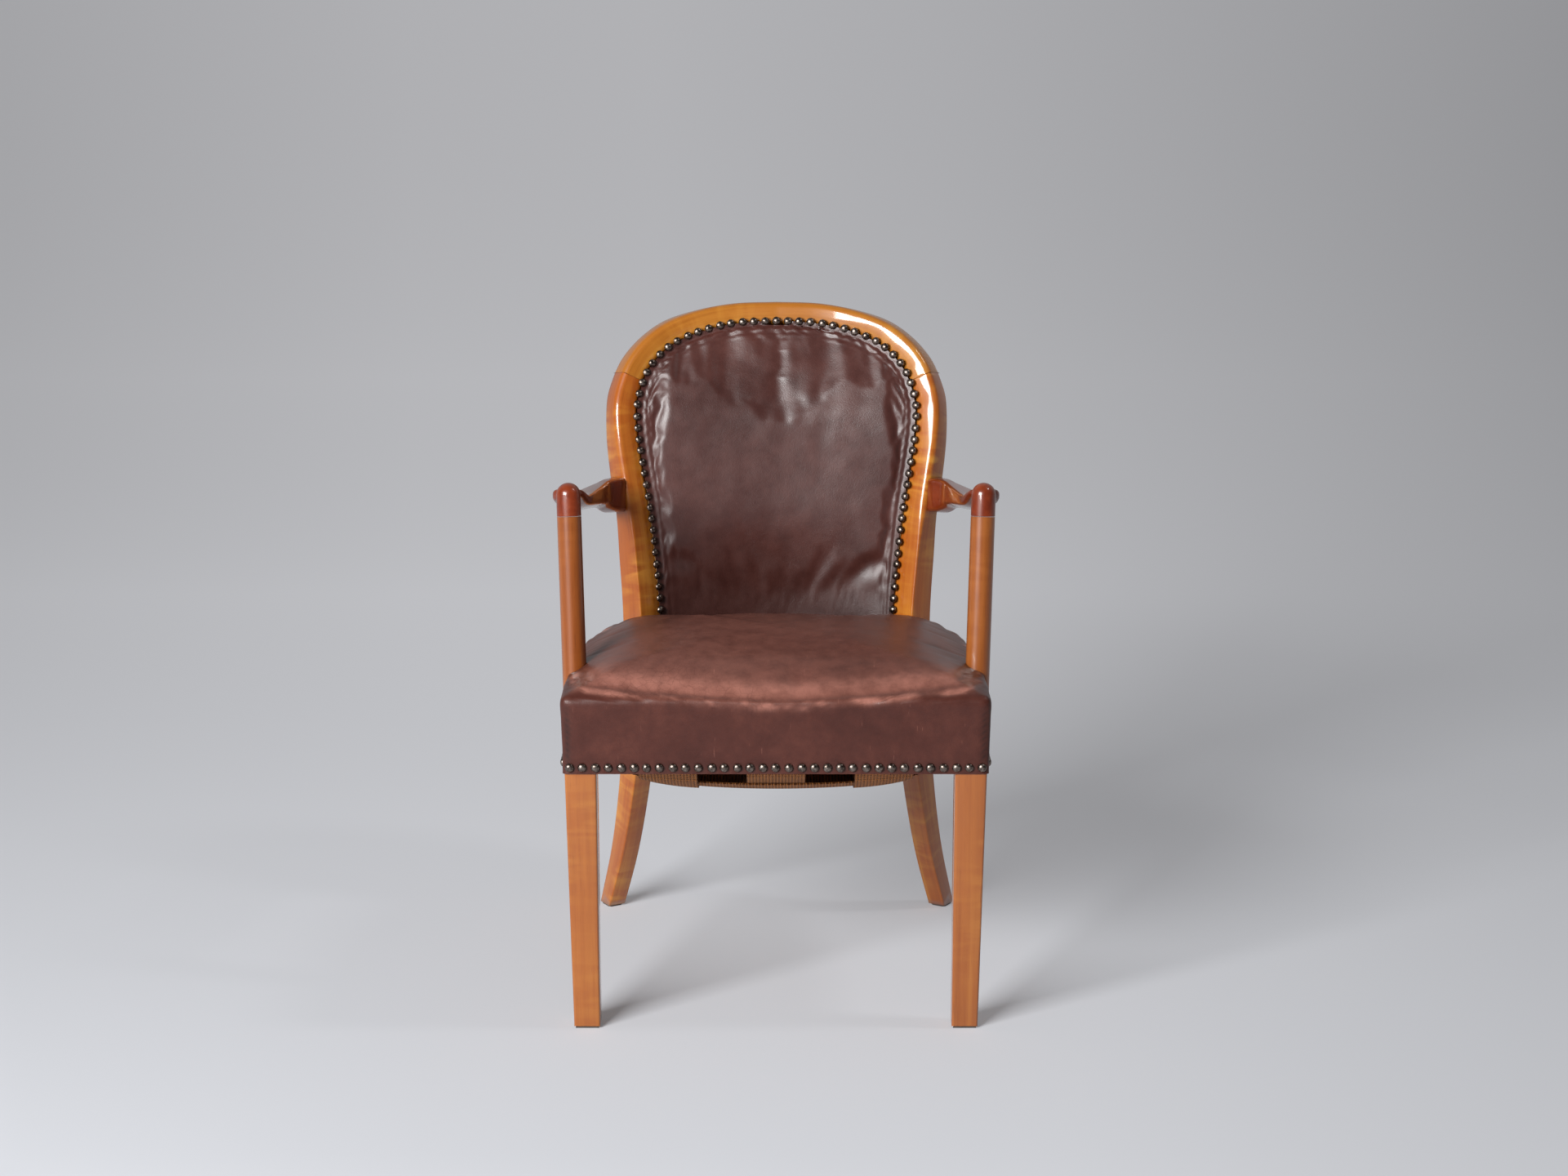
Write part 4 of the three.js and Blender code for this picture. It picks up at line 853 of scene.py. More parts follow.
def paint(piece, name, values):
    """Writes a number for each vertex, which the materials read."""
    attribute = piece.data.attributes.new(name, "FLOAT", "POINT")
    attribute.data.foreach_set("value", list(values))


def write_vectors(piece, name, vectors):
    attribute = piece.data.attributes.new(name, "FLOAT_VECTOR", "POINT")
    attribute.data.foreach_set("vector", [part for vector in vectors for part in vector])


def press(piece, depth):
    """Moves each vertex along its normal by depth(place, index), outwards where that is positive."""
    moves = [vertex.normal * depth(vertex.co, vertex.index) for vertex in piece.data.vertices]
    for vertex, move in zip(piece.data.vertices, moves):
        vertex.co += move
    piece.data.update()


CLOTH_FRAMES = 20


def inflate(piece, held, reach, pressure=4.0, slack=0.012):
    """Pulls leather tight over its stuffing: cloth under pressure, held where held is 1."""
    before = [vertex.co.copy() for vertex in piece.data.vertices]
    group = piece.vertex_groups.new(name="held")
    for index, share in enumerate(held):
        if share > 0:
            group.add([index], share, "REPLACE")
    pick(piece)
    modifier = piece.modifiers.new("Cloth", "CLOTH")
    cloth = modifier.settings
    cloth.vertex_group_mass = "held"
    cloth.use_pressure = True
    cloth.uniform_pressure_force = pressure
    cloth.effector_weights.gravity = 0
    cloth.tension_stiffness = cloth.compression_stiffness = 25
    cloth.bending_stiffness = 1.5
    cloth.shrink_min = -slack
    modifier.collision_settings.use_collision = False
    scene = bpy.context.scene
    scene.frame_start, scene.frame_end = 1, CLOTH_FRAMES
    modifier.point_cache.frame_start, modifier.point_cache.frame_end = 1, CLOTH_FRAMES
    for number in range(1, CLOTH_FRAMES + 1):
        scene.frame_set(number)
    bpy.ops.object.modifier_apply(modifier=modifier.name)
    scene.frame_set(1)
    for vertex, old in zip(piece.data.vertices, before):
        move = vertex.co - old
        if move.length > reach:
            vertex.co = old + move.normalized() * reach
    piece.vertex_groups.remove(piece.vertex_groups["held"])
    piece.data.update()


# Nails

def nail_head():
    """One domed nail, the upper half of a flattened ball, with its foot at the origin."""
    fresh()
    bpy.ops.mesh.primitive_uv_sphere_add(segments=14, ring_count=8, radius=1)
    nail = newly_made("nail_head")
    with editing(nail):
        bpy.ops.mesh.bisect(plane_co=(0, 0, -0.02), plane_no=(0, 0, -1), clear_outer=True, use_fill=True)
        bpy.ops.mesh.select_all(action="SELECT")
        bpy.ops.transform.resize(value=(NAIL_RADIUS, NAIL_RADIUS, NAIL_HEIGHT), center_override=(0, 0, 0))
    smooth_by_angle(nail, 50)
    return nail


def hammer(name, places, seed):
    """A row of nails: each sits a little off true, as nails driven by hand do."""
    rest = random.Random(seed)
    head = nail_head()
    nails = []
    for number, (point, out) in enumerate(places):
        lean = out + Vector([rest.uniform(-0.09, 0.09) for _ in range(3)])
        turn = Z_AXIS.rotation_difference(lean).to_matrix().to_4x4()
        spin = Matrix.Rotation(rest.uniform(0, math.tau), 4, "Z")
        size = Matrix.Scale(rest.uniform(0.96, 1.03), 4)
        nails.append(copy_of(head, f"{name}_{number}", Matrix.Translation(point) @ turn @ spin @ size))
    bpy.data.objects.remove(head)
    return join(name, nails)


def evenly(line, spacing):
    count = round(line.length / spacing)
    return [line.at(place) for place in shares(count)]


def with_jitter(points, reach, seed):
    """Hand spacing: each point strays a little along its row."""
    rest = random.Random(seed)
    strayed = []
    for i, p in enumerate(points):
        after = points[min(i + 1, len(points) - 1)]
        strayed.append(p + (after - p).normalized() * rest.uniform(-reach, reach) if i and after != p else p)
    return strayed


def nails_along(fine, spacing, seed):
    """Nails along closely set points, each with the direction that belongs to the nearest point."""
    points = [p for p, _ in fine]
    tree = tree_of(points)
    row = with_jitter(evenly(Line(points), spacing), NAIL_STRAY, seed)
    return [(p, fine[tree.find(p)[1]][1]) for p in row]


def front_nails():
    line = Line([(-FRONT_NAIL_REACH, 0, NAIL_LEVEL), (FRONT_NAIL_REACH, 0, NAIL_LEVEL)])
    row = with_jitter(evenly(line, FRONT_NAIL_SPACING), 0.0007, 3)
    return [(p - Y_AXIS * NAIL_LIFT, -Y_AXIS) for p in row]


def side_nails(sign):
    side = side_line(-NAIL_LIFT)
    fine = [(p, along) for p, along in map(side, shares(200)) if CORNER_RADIUS < p.y < SIDE_NAILS_END]
    return [
        (Vector((p.x * sign, p.y, NAIL_LEVEL)), Vector((along.y * sign, -along.x, 0)))
        for p, along in nails_along(fine, SIDE_NAIL_SPACING, 5 + sign)
    ]


def rear_nails():
    reach = REAR_WIDTH * 0.8
    line = Line([(x, rear_line(x), NAIL_LEVEL) for x in (mix(-reach, reach, s) for s in shares(60))])
    nails = []
    for p in with_jitter(evenly(line, REAR_NAIL_SPACING), NAIL_STRAY, 11):
        slope = -2 * REAR_RAIL_BOW * p.x / REAR_WIDTH ** 2
        out = Vector((-slope, 1, 0)).normalized()
        nails.append((p + out * NAIL_LIFT, out))
    return nails


def nail_rim_shade(near):
    """Painted shade in the leather round the rim of a nail head."""
    return (1 - ease(0.003, 0.009, near)) * 0.55


# The seat's leather over its stuffing

SEAT_HALF_GRID = 56
RIM_PLACE = 0.268
PROFILE_LENGTH = 0.36
RING_ROWS = ((0, 0), (0.22, 0.22), (0.5, 0.34), (1, 1))


def ring_place(share):
    """Place on the leather's line for a share of the rings, which lie closest over the hard roll."""
    for (low, start), (high, end) in zip(RING_ROWS, RING_ROWS[1:]):
        if share <= high:
            return mix(start, end, (share - low) / (high - low))
    return 1.0


def seat_cover(nails):
    table = SeatTable(seat_profile)
    half = SEAT_HALF_GRID
    piece = add_grid("seat_leather", 2 * half, 2 * half)
    held, edge_shares, around = [], [], []
    for vertex in piece.data.vertices:
        i, j = round(vertex.co.x * half), round(vertex.co.y * half)
        ring, share = square_place(i, j)
        place = ring_place(1 - ring / half)
        vertex.co = table.at(share, place)
        rear = rearness(outline.at(share).y) * (1 - place) ** 0.5
        post = min((Vector((abs(vertex.co.x), vertex.co.y, 0)) - arm_post_centre(vertex.co.z)).xy.length, 1)
        hold = max(1 - ease(0.24, 0.36, place), ease(0.5, 0.8, rear), 1 - ease(0.02, 0.04, post))
        held.append(hold)
        around.append(share)
        edge_shares.append(place)
    piece.data.update()
    inflate(piece, held, 0.004, slack=0.007)
    seat_relief(piece, around, edge_shares, nails)
    apply_modifier(piece, "SUBSURF", levels=1, render_levels=1)
    close_seat(piece)
    cut_round_posts(piece)
    smooth_by_angle(piece, 50)
    return piece


def seat_relief(piece, around, places, nails):
    """The marks of use: a hard roll along the edge, hollows, corner folds, and dimples at the nails, with paler
    wear, a painted sheen and highlight, and painted shade in the folds and round the nails.
    """
    tree = tree_of([point for point, _ in nails])
    wear_and_sheen, painted_shades = [], []

    def depth(p, index):
        place, share = places[index], around[index] % 1
        from_rim = (place - RIM_PLACE) * PROFILE_LENGTH
        frontness = 1 - ease(0.3, 0.42, abs(share - round(share)) * 2)
        lumps = noise.noise(p * 13) * 0.0009 + noise.noise(p * 42 + Vector((7, 0, 0))) * 0.0003
        puckers = 0.0022 * noise.noise(p * 44) + 0.0012 * noise.noise(p * 15) + 0.0006 * noise.noise(p * 150)
        roll = math.exp(-(from_rim / 0.008) ** 2) * puckers
        dip = math.exp(-((from_rim - 0.018) / 0.008) ** 2) * -0.0024 * frontness
        hollow = -0.003 * math.exp(-(((p.x - 0.02) / 0.15) ** 2 + ((p.y - 0.24) / 0.12) ** 2))
        near = tree.find(p)[2]
        dimple = -0.0010 * (1 - ease(0.003, 0.0105, near))
        fold_and_shade = corner_fold(p)
        top = ease(0, 0.04, from_rim)
        rubbed_and_sheen = ease(-0.1, 0.35, noise.noise(p * 24) + 0.5 * noise.noise(p * 90))
        # Paler leather: a worn band behind the roll, wear and a painted highlight in patches along the roll, and a
        # painted sheen over the whole top of the seat.
        wear_and_sheen.append(clamp(
            math.exp(-((from_rim - 0.032) / 0.018) ** 2) * 0.55 * frontness
            + math.exp(-((from_rim - 0.004) / 0.006) ** 2) * (0.2 + 1.1 * rubbed_and_sheen)
            + top * (0.3 + 0.22 * noise.noise(p * 6 + Vector((3, 1, 0))))
        ))
        # Painted shade in the corner pleats and round the nail rims.
        painted_shades.append(clamp(fold_and_shade * 1.4 + nail_rim_shade(near)))
        calm = ease(0.0, 0.06, place)
        return (lumps * calm + roll + dip + hollow * top) * calm + dimple - fold_and_shade * 0.0018

    press(piece, depth)
    paint(piece, "wear_and_sheen", wear_and_sheen)
    paint(piece, "fold_and_shade", painted_shades)


def corner_fold(p):
    """The pleat that takes up the leather at each front corner."""
    if p.y > 0.03 or p.z > SEAT_EDGE + 0.004:
        return 0.0
    line = SEAT_HALF_WIDTH - 0.006 + 0.002 * (p.z - 0.4) / 0.04
    away = abs(abs(p.x) - line)
    return math.exp(-(away / 0.0024) ** 2) * (1 if p.y < 0.008 else 0) * ease(0.348, 0.37, p.z)


def close_seat(piece):
    """Gives the leather its thickness round the hem and the stuffing its underside on the hessian."""
    mesh = bmesh.new()
    mesh.from_mesh(piece.data)
    rim = [edge for edge in mesh.edges if edge.is_boundary]
    ring = [rim[0].verts[0], rim[0].verts[1]]
    links = {}
    for edge in rim:
        for vertex in edge.verts:
            links.setdefault(vertex, []).append(edge.other_vert(vertex))
    while True:
        following = [v for v in links[ring[-1]] if v is not ring[-2]][0]
        if following is ring[0]:
            break
        ring.append(following)
    centre = Vector((0, CROWN_CENTRE, 0))
    around = [outline.share_near(v.co) for v in ring]
    rows = [
        [inside(v.co, centre, HIDE) for v in ring],
        [inside(v.co, centre, HIDE).xy.to_3d() + Z_AXIS * (RAIL_TOP + FIT) for v in ring],
    ]
    for share in (1, 0.84, 0.6, 0.3):
        rows.append([hessian_point(place, share) + Z_AXIS * FIT for place in around])
    before = ring
    for row in rows:
        now = [mesh.verts.new(p) for p in row]
        for k, v in enumerate(now):
            after = (k + 1) % len(now)
            mesh.faces.new((before[k], before[after], now[after], v))
        before = now
    pole = mesh.verts.new(hessian_point(0, 0) + Z_AXIS * FIT)
    for k, v in enumerate(before):
        mesh.faces.new((v, before[(k + 1) % len(before)], pole))
    bmesh.ops.recalc_face_normals(mesh, faces=mesh.faces)
    mesh.to_mesh(piece.data)
    mesh.free()
    piece.data.update()


def inside(p, centre, depth):
    away = Vector((p.x - centre.x, p.y - centre.y, 0))
    return p - away.normalized() * depth


# Room round each post that passes through the seat
SLEEVE = 0.0005


def post_sleeve():
    start, end = arm_post_centre(ARM_POST_BOTTOM - SLEEVE), arm_post_centre(ARM_SEAM)
    return round_bar("post_sleeve", start, end, ARM_POST_RADIUS + SLEEVE)


def grown(s):
    corner = s.corner - (s.turn.col[0] + s.turn.col[1]) * SLEEVE
    return Station(
        corner, s.turn.col[0] * (s.wide + 2 * SLEEVE), s.turn.col[1] * (s.deep + 2 * SLEEVE), s.rounding,
    )


def back_sleeve():
    low, high = post_share(0.32), post_share(0.60)
    return sweep("back_sleeve", [grown(post_station(mix(low, high, s), POST_ROUNDING)) for s in shares(20)])


def cut_round_posts(piece):
    """Opens the holes through which the arm posts and the back legs pass."""
    for right in (post_sleeve(), back_sleeve()):
        for cutter in (right, copy_of(right, "left_sleeve", MIRROR)):
            apply_modifier(piece, "BOOLEAN", object=cutter, operation="DIFFERENCE", solver="MANIFOLD")
            bpy.data.objects.remove(cutter)


# Back panel

class PanelRow:
    """One row of the back: its two edges on the frame's face and the curve between them."""

    def __init__(self, share, side):
        p = PostPlace(share)
        self.normal = -p.deep if side == "front" else p.deep.copy()
        face = p.arris if side == "front" else p.arris + p.deep * p.deep_width
        self.edge = face + p.face * p.shown
        self.step = self.edge + p.face * BACK_STRIP
        self.barrel = p.barrel


PANEL_LOW = post_share(BACK_BOTTOM - 0.016)
PANEL_HIGH = 0.985


def panel_point(row, across, lift, pad, side):
    """A point of the back: on the nailed strip beyond the edges, and on the padded curve between them."""
    sign, across = (-1 if across < 0 else 1), abs(across)
    out = -Y_AXIS if side == "front" else Y_AXIS
    if across >= 1:
        point = row.edge.lerp(row.step, 2 - across)
        normal = row.normal
        swell = 0
    else:
        x = across * row.step.x
        point = Vector((x, row.step.y + row.barrel * (row.step.x ** 2 - x ** 2), row.step.z))
        normal = out.lerp(row.normal, across ** 3).normalized()
        swell = pad * (1 - across ** 2) ** 0.85
    point = point + normal * (lift + swell)
    return Vector((point.x * sign, point.y, point.z))


def panel_ease(place):
    """How full the stuffing is: rolled in above the seat, fullest just over it, and thin at the top."""
    return mix(0.3, 1, ease(0.01, 0.17, place)) * mix(1, 0.25, ease(0.1, 1.1, place)) * (1 - place ** 9)


STRIP_COLUMNS = 4


def panel_across(column, columns):
    """Place across the back for a column of the grid: 1 to 2 on the nailed strip, closer together near it."""
    if column <= STRIP_COLUMNS:
        return -2 + column / STRIP_COLUMNS
    if column >= columns - STRIP_COLUMNS:
        return 2 - (columns - column) / STRIP_COLUMNS
    share = (column - STRIP_COLUMNS) / (columns - 2 * STRIP_COLUMNS)
    return math.sin((2 * share - 1) * math.pi / 2)


def relax(piece, free, steps=40):
    """Lets the free part of a sheet settle into an even curve."""
    fresh()
    for vertex in piece.data.vertices:
        vertex.select = free[vertex.index]
    pick(piece)
    bpy.ops.object.mode_set(mode="EDIT")
    bpy.ops.mesh.select_mode(type="VERT")
    bpy.ops.mesh.vertices_smooth(factor=0.5, repeat=steps)
    bpy.ops.object.mode_set(mode="OBJECT")


def panel(name, side, lift, pad, columns, rows):
    """A grid laid over the back, closed at the top of the arch. Returns it with each corner's place."""
    piece = add_grid(name, columns, rows)
    levels = {}
    places = []
    for vertex in piece.data.vertices:
        column = round((vertex.co.x + 1) / 2 * columns)
        level = round((vertex.co.y + 1) / 2 * rows)
        across = panel_across(column, columns)
        place = min(1, level / (rows - 1))
        if level not in levels:
            levels[level] = PanelRow(mix(PANEL_LOW, PANEL_HIGH, place ** 0.9), side)
        row = levels[level]
        if level == rows:
            p = row.edge + row.normal * lift
            vertex.co = Vector((p.x * mix(-1, 1, column / columns), p.y, p.z))
        else:
            vertex.co = panel_point(row, across, lift, pad * panel_ease(place), side)
        places.append((across, place if level < rows else 1.1))
    if side == "rear":
        piece.data.flip_normals()
    piece.data.update()
    relax(piece, [abs(across) < 1 and 0 < place < 1 for across, place in places])
    return piece, places


def arch_nails(side, spacing, lift, seed):
    """Places of the nails round the arch, along the middle of the strip."""
    start = post_share(BACK_BOTTOM + 0.012)
    half = []
    for place in shares(240):
        row = PanelRow(mix(start, 1, place), side)
        half.append((row.edge.lerp(row.step, 0.43) + row.normal * lift, row.normal))
    whole = [(Vector((-p.x, p.y, p.z)), Vector((-n.x, n.y, n.z))) for p, n in half[:-1]] + half[::-1]
    return nails_along(whole, spacing, seed)


def back_leather(side, nails):
    front = side == "front"
    columns, rows = ((92, 124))
    lift = (COVER_LIFT if front else REAR_LIFT) + HIDE
    piece, places = panel(f"back_leather_{side}", side, lift, BACK_PAD if front else REAR_PAD, columns, rows)
    held = [
        max(1 - ease(0.01, 0.06, 1 - abs(across)), 1 - ease(0.02, 0.08, place), ease(0.93, 0.98, place))
        for across, place in places
    ]
    inflate(piece, held, 0.005 if front else 0.003, 3.0)
    back_relief(piece, places, nails, front)
    apply_modifier(piece, "SUBSURF", levels=1, render_levels=1)
    apply_modifier(piece, "SOLIDIFY", thickness=HIDE, offset=-1)
    smooth_by_angle(piece, 50)
    return piece


def crease(p, start, end, width):
    """How deep a point lies in a soft crease that runs from start to end, seen from the front."""
    span = Vector((end[0] - start[0], end[1] - start[1]))
    place = Vector((p.x - start[0], p.z - start[1]))
    share = place.dot(span) / span.length_squared
    away = abs(place.x * span.y - place.y * span.x) / span.length
    fade = ease(-0.05, 0.25, share) * (1 - ease(0.7, 1.05, share))
    return math.exp(-(away / width) ** 2) * fade


# Soft creases in the back, as start and end in x and z, width and depth
BACK_CREASES = (
    ((0.028, 0.80), (0.040, 0.70), 0.010, 0.0006),
    ((0.075, 0.79), (0.060, 0.66), 0.016, 0.0006),
    ((-0.02, 0.60), (0.03, 0.54), 0.010, 0.00072),
    ((-0.06, 0.56), (0.01, 0.51), 0.012, 0.0006),
    ((0.10, 0.60), (0.14, 0.50), 0.012, 0.00054),
)


def back_relief(piece, places, nails, front):
    """The marks of use on the back: creases in front, pulls and dimples at the nails, and painted shade in the
    creases, round the nail rims and low down above the seat.
    """
    tree = tree_of([point for point, _ in nails])
    wear_and_sheen, painted_shades = [], []

    def depth(p, index):
        across, place = places[index]
        inner = ease(0.0, 0.12, 1 - abs(across))
        near = tree.find(p)[2]
        dimple = -0.0009 * (1 - ease(0.003, 0.0105, near))
        pull = -0.0006 * (1 - ease(0.006, 0.03, near)) * math.cos(near * 700)
        lumps = noise.noise(p * 9) * 0.0016 + noise.noise(p * 38 + Vector((5, 0, 0))) * 0.0004
        marks = 0.0
        if front:
            marks = sum(crease(p, a, b, w) * d for a, b, w, d in BACK_CREASES)
        wear_and_sheen.append(clamp(0.12 + 0.4 * noise.noise(p * 7 + Vector((0, 0, 4)))))
        # Painted shade in the creases, round the nail rims and along the bottom of the back above the seat.
        painted_shades.append(clamp(marks * 260 + nail_rim_shade(near) + 0.6 * (1 - ease(0, 0.16, place))))
        return (lumps - marks) * inner + dimple + pull * (1 if abs(across) < 1 else 0)

    press(piece, depth)
    paint(piece, "wear_and_sheen", wear_and_sheen)
    paint(piece, "fold_and_shade", painted_shades)


def back_hessian():
    piece, _ = panel("back_weave", "front", HESSIAN_LIFT + CLOTH * 0.8, 0, 40, 50)
    apply_modifier(piece, "SOLIDIFY", thickness=CLOTH * 0.6, offset=-1)
    smooth_by_angle(piece, 50)
    return piece


def area_of(piece):
    return sum(face.area for face in piece.data.polygons)


# Webbing, springs and hessian under the seat

WEB_LEVEL = RAIL_BOTTOM - FIT - WEB_THICKNESS
WEB_GAP = 0.0015
WEB_LIFT = (WEB_THICKNESS + WEB_GAP) / 2
WEB_FRONT = RAIL_FACE_INSET + RAIL_THICKNESS
WEB_ROWS = [CROWN_CENTRE + i * WEB_ROW_SPACING for i in (-1, 0, 1)]
WEB_COLUMNS = [i * WEB_SPACING for i in (-1, 0, 1)]
rail_middle_line = [side_line(RAIL_FACE_INSET + RAIL_THICKNESS / 2)(s)[0] for s in shares(300)]


def side_reach(y):
    return min(rail_middle_line, key=lambda p: abs(p.y - y)).x


side_reaches = {round(y, 3): side_reach(y) for y in (i / 1000 for i in range(0, 520))}


def web_floor(x, y):
    """Height of the sagging webs at a place."""
    far = rear_line(x) - RAIL_FACE_INSET - RAIL_THICKNESS
    along = clamp((y - WEB_FRONT) / (far - WEB_FRONT))
    along = along ** 0.85
    reach = side_reaches[round(clamp(y, 0, 0.519), 3)] - RAIL_THICKNESS / 2
    return WEB_LEVEL - WEB_SAG * (1 - min(1, abs(x) / reach) ** 4) * 4 * along * (1 - along)


def weave_wave(distance, first, spacing):
    """Where a web passes over or under the ones that cross it: 1 over, -1 under."""
    place = (distance - first) / spacing
    return math.cos(clamp(place, -1, 1) * math.pi) if -1.6 < place < 1.6 else 0


def strap(name, along_y, centre, index):
    """One web, woven over and under those that cross it and tacked flat under the rails."""
    start, end = (
        (RAIL_FACE_INSET + 0.002, rear_line(centre) - RAIL_FACE_INSET - RAIL_THICKNESS / 2)
        if along_y else (-side_reach(centre) - 0.006, side_reach(centre) + 0.006)
    )
    first, spacing = (WEB_ROWS[1], WEB_ROW_SPACING) if along_y else (0, WEB_SPACING)
    over = (-1 if (index + 1) % 2 == 0 else 1) * (1 if along_y else -1)
    piece = add_grid(name, 10, 90)
    weave = []
    for vertex in piece.data.vertices:
        side, run = vertex.co.x * WEB_WIDTH / 2, mix(start, end, (vertex.co.y + 1) / 2)
        x, y = (centre + side, run) if along_y else (run, centre - side)
        inside_rails = ease(start + 0.03, start + 0.06, run) * (1 - ease(end - 0.06, end - 0.03, run))
        lift = over * weave_wave(run, first, spacing) * WEB_LIFT * inside_rails
        level = min(WEB_LEVEL + WEB_THICKNESS, web_floor(x, y) + lift)
        vertex.co = Vector((x, y, level))
        weave.append((side, run, 0))
    write_vectors(piece, "weave", weave)
    piece.data.update()
    apply_modifier(piece, "SOLIDIFY", thickness=WEB_THICKNESS, offset=-1)
    tidy_faces(piece)
    smooth_by_angle(piece, 50)
    return piece


def rim_share(x, y):
    """How far a place lies from the middle of the seat towards the hessian's rim."""
    direction = Vector((x, y - CROWN_CENTRE, 0))
    if direction.length < 1e-6:
        return 0.0
    best = 1.0
    for i in range(72):
        rim = hessian_point(i / 72, 1)
        out = Vector((rim.x, rim.y - CROWN_CENTRE, 0))
        if out.normalized().dot(direction.normalized()) > 0.995:
            best = direction.length / out.length
    return min(1, best)


def spring(name, x, y):
    """An hourglass coil between the webs and the hessian."""
    stations = []
    steps = 24
    count = int(SPRING_TURNS * steps)
    middle = []
    for i in range(count + 1):
        share = i / count
        radius = SPRING_WAIST + (SPRING_RADIUS - SPRING_WAIST) * (2 * share - 1) ** 2
        angle = math.pi / 8 + i / steps * math.tau
        px, py = x + radius * math.cos(angle), y + radius * math.sin(angle)
        bottom = web_floor(px, py) + WEB_LIFT + 0.0012 + SPRING_WIRE / 2
        top = hessian_level(rim_share(px, py)) - CLOTH - 0.0012 - SPRING_WIRE / 2
        climb = mix(share, ease(0, 1, share), 0.35)
        middle.append(Vector((px, py, mix(bottom, top, climb))))
    for i, p in enumerate(middle):
        along = (middle[min(i + 1, count)] - middle[max(i - 1, 0)]).normalized()
        out = along.cross(Z_AXIS).normalized()
        up = out.cross(along)
        corner = p - (out + up) * SPRING_WIRE / 2
        stations.append(Station(corner, out * SPRING_WIRE, up * SPRING_WIRE, SPRING_WIRE * 0.3))
    return sweep(name, stations, segments=1)


def seat_hessian():
    half = 24
    piece = add_grid("seat_weave", 2 * half, 2 * half)
    for vertex in piece.data.vertices:
        i, j = round(vertex.co.x * half), round(vertex.co.y * half)
        ring, share = square_place(i, j)
        vertex.co = hessian_point(share, ring / half) - Z_AXIS * CLOTH * 0.2
    piece.data.update()
    apply_modifier(piece, "SOLIDIFY", thickness=CLOTH * 0.6, offset=-1)
    cut_round_posts(piece)
    smooth_by_angle(piece, 50)
    return piece


# Materials

def tint(red, green, blue):
    """A colour as it looks on paper, from 0 to 255, turned into light."""
    return (*((c / 255 / 12.92) if c <= 10 else ((c / 255 + 0.055) / 1.055) ** 2.4 for c in (red, green, blue)), 1)


class Nodes:
    """Makes nodes one by one; each method adds a node and gives its output."""

    def __init__(self, tree):
        self.tree = tree

    def node(self, kind, inputs=(), output=0, **settings):
        node = self.tree.nodes.new(kind)
        for name, value in settings.items():
            setattr(node, name, value)
        for name, value in dict(inputs).items():
            self.feed(node.inputs[name], value)
        return node.outputs[output]

    def feed(self, socket, value):
        if isinstance(value, bpy.types.NodeSocket):
            self.tree.links.new(value, socket)
        else:
            socket.default_value = value

    def place(self, scale=(1, 1, 1), attribute=None, turn=(0, 0, 0)):
        if attribute:
            source = self.node("ShaderNodeAttribute", attribute_name=attribute, output="Vector")
        else:
            source = self.node("ShaderNodeTexCoord", output="Object")
        return self.node("ShaderNodeMapping", {"Vector": source, "Scale": scale, "Rotation": turn})

    def painted(self, attribute):
        return self.node("ShaderNodeAttribute", attribute_name=attribute, output="Fac")

    def noise(self, vector, scale=1, detail=4, rough=0.5, bend=0.0):
        return self.node("ShaderNodeTexNoise", {
            "Vector": vector, "Scale": scale, "Detail": detail, "Roughness": rough, "Distortion": bend,
        })

    def cells(self, vector, scale=1, feature="F1"):
        return self.node(
            "ShaderNodeTexVoronoi", {"Vector": vector, "Scale": scale}, feature=feature, output="Distance",
        )

    def bands(self, vector, scale, direction, bend=0.0):
        return self.node(
            "ShaderNodeTexWave", {"Vector": vector, "Scale": scale, "Distortion": bend},
            bands_direction=direction, output="Fac",
        )

    def levels(self, value, low, high, start=0.0, end=1.0):
        return self.node("ShaderNodeMapRange", {
            "Value": value, "From Min": low, "From Max": high, "To Min": start, "To Max": end,
        })

    def sum(self, operation, first, second):
        node = self.tree.nodes.new("ShaderNodeMath")
        node.operation = operation
        self.feed(node.inputs[0], first)
        self.feed(node.inputs[1], second)
        return node.outputs[0]

    def ramp(self, value, *stops):
        node = self.tree.nodes.new("ShaderNodeValToRGB")
        self.feed(node.inputs[0], value)
        colours = node.color_ramp.elements
        while len(colours) < len(stops):
            colours.new(0.5)
        for element, (place, colour) in zip(colours, stops):
            element.position, element.color = place, colour
        return node.outputs[0]

    def blend(self, share, first, second, kind="MIX"):
        node = self.tree.nodes.new("ShaderNodeMix")
        node.data_type, node.blend_type = "RGBA", kind
        self.feed(node.inputs[0], share)
        self.feed(node.inputs[6], first)
        self.feed(node.inputs[7], second)
        return node.outputs[2]


class Finish(Nodes):
    """A material: its fixed values, then its nodes, then its bumps, one laid over the other."""

    def __init__(self, name, values):
        self.material = bpy.data.materials.new(name)
        self.material.use_nodes = True
        super().__init__(self.material.node_tree)
        self.shader = self.tree.nodes["Principled BSDF"]
        for socket, value in values.items():
            self.shader.inputs[socket].default_value = value
        self.bump = None

    def raised(self, height, strength, distance):
        inputs = {"Height": height, "Strength": strength, "Distance": distance}
        if self.bump is not None:
            inputs["Normal"] = self.bump
        self.bump = self.node("ShaderNodeBump", inputs)

    def done(self, **sockets):
        for name, value in sockets.items():
            self.feed(self.shader.inputs[name.replace("_", " ")], value)
        if self.bump is not None:
            self.feed(self.shader.inputs["Normal"], self.bump)
        return self.material


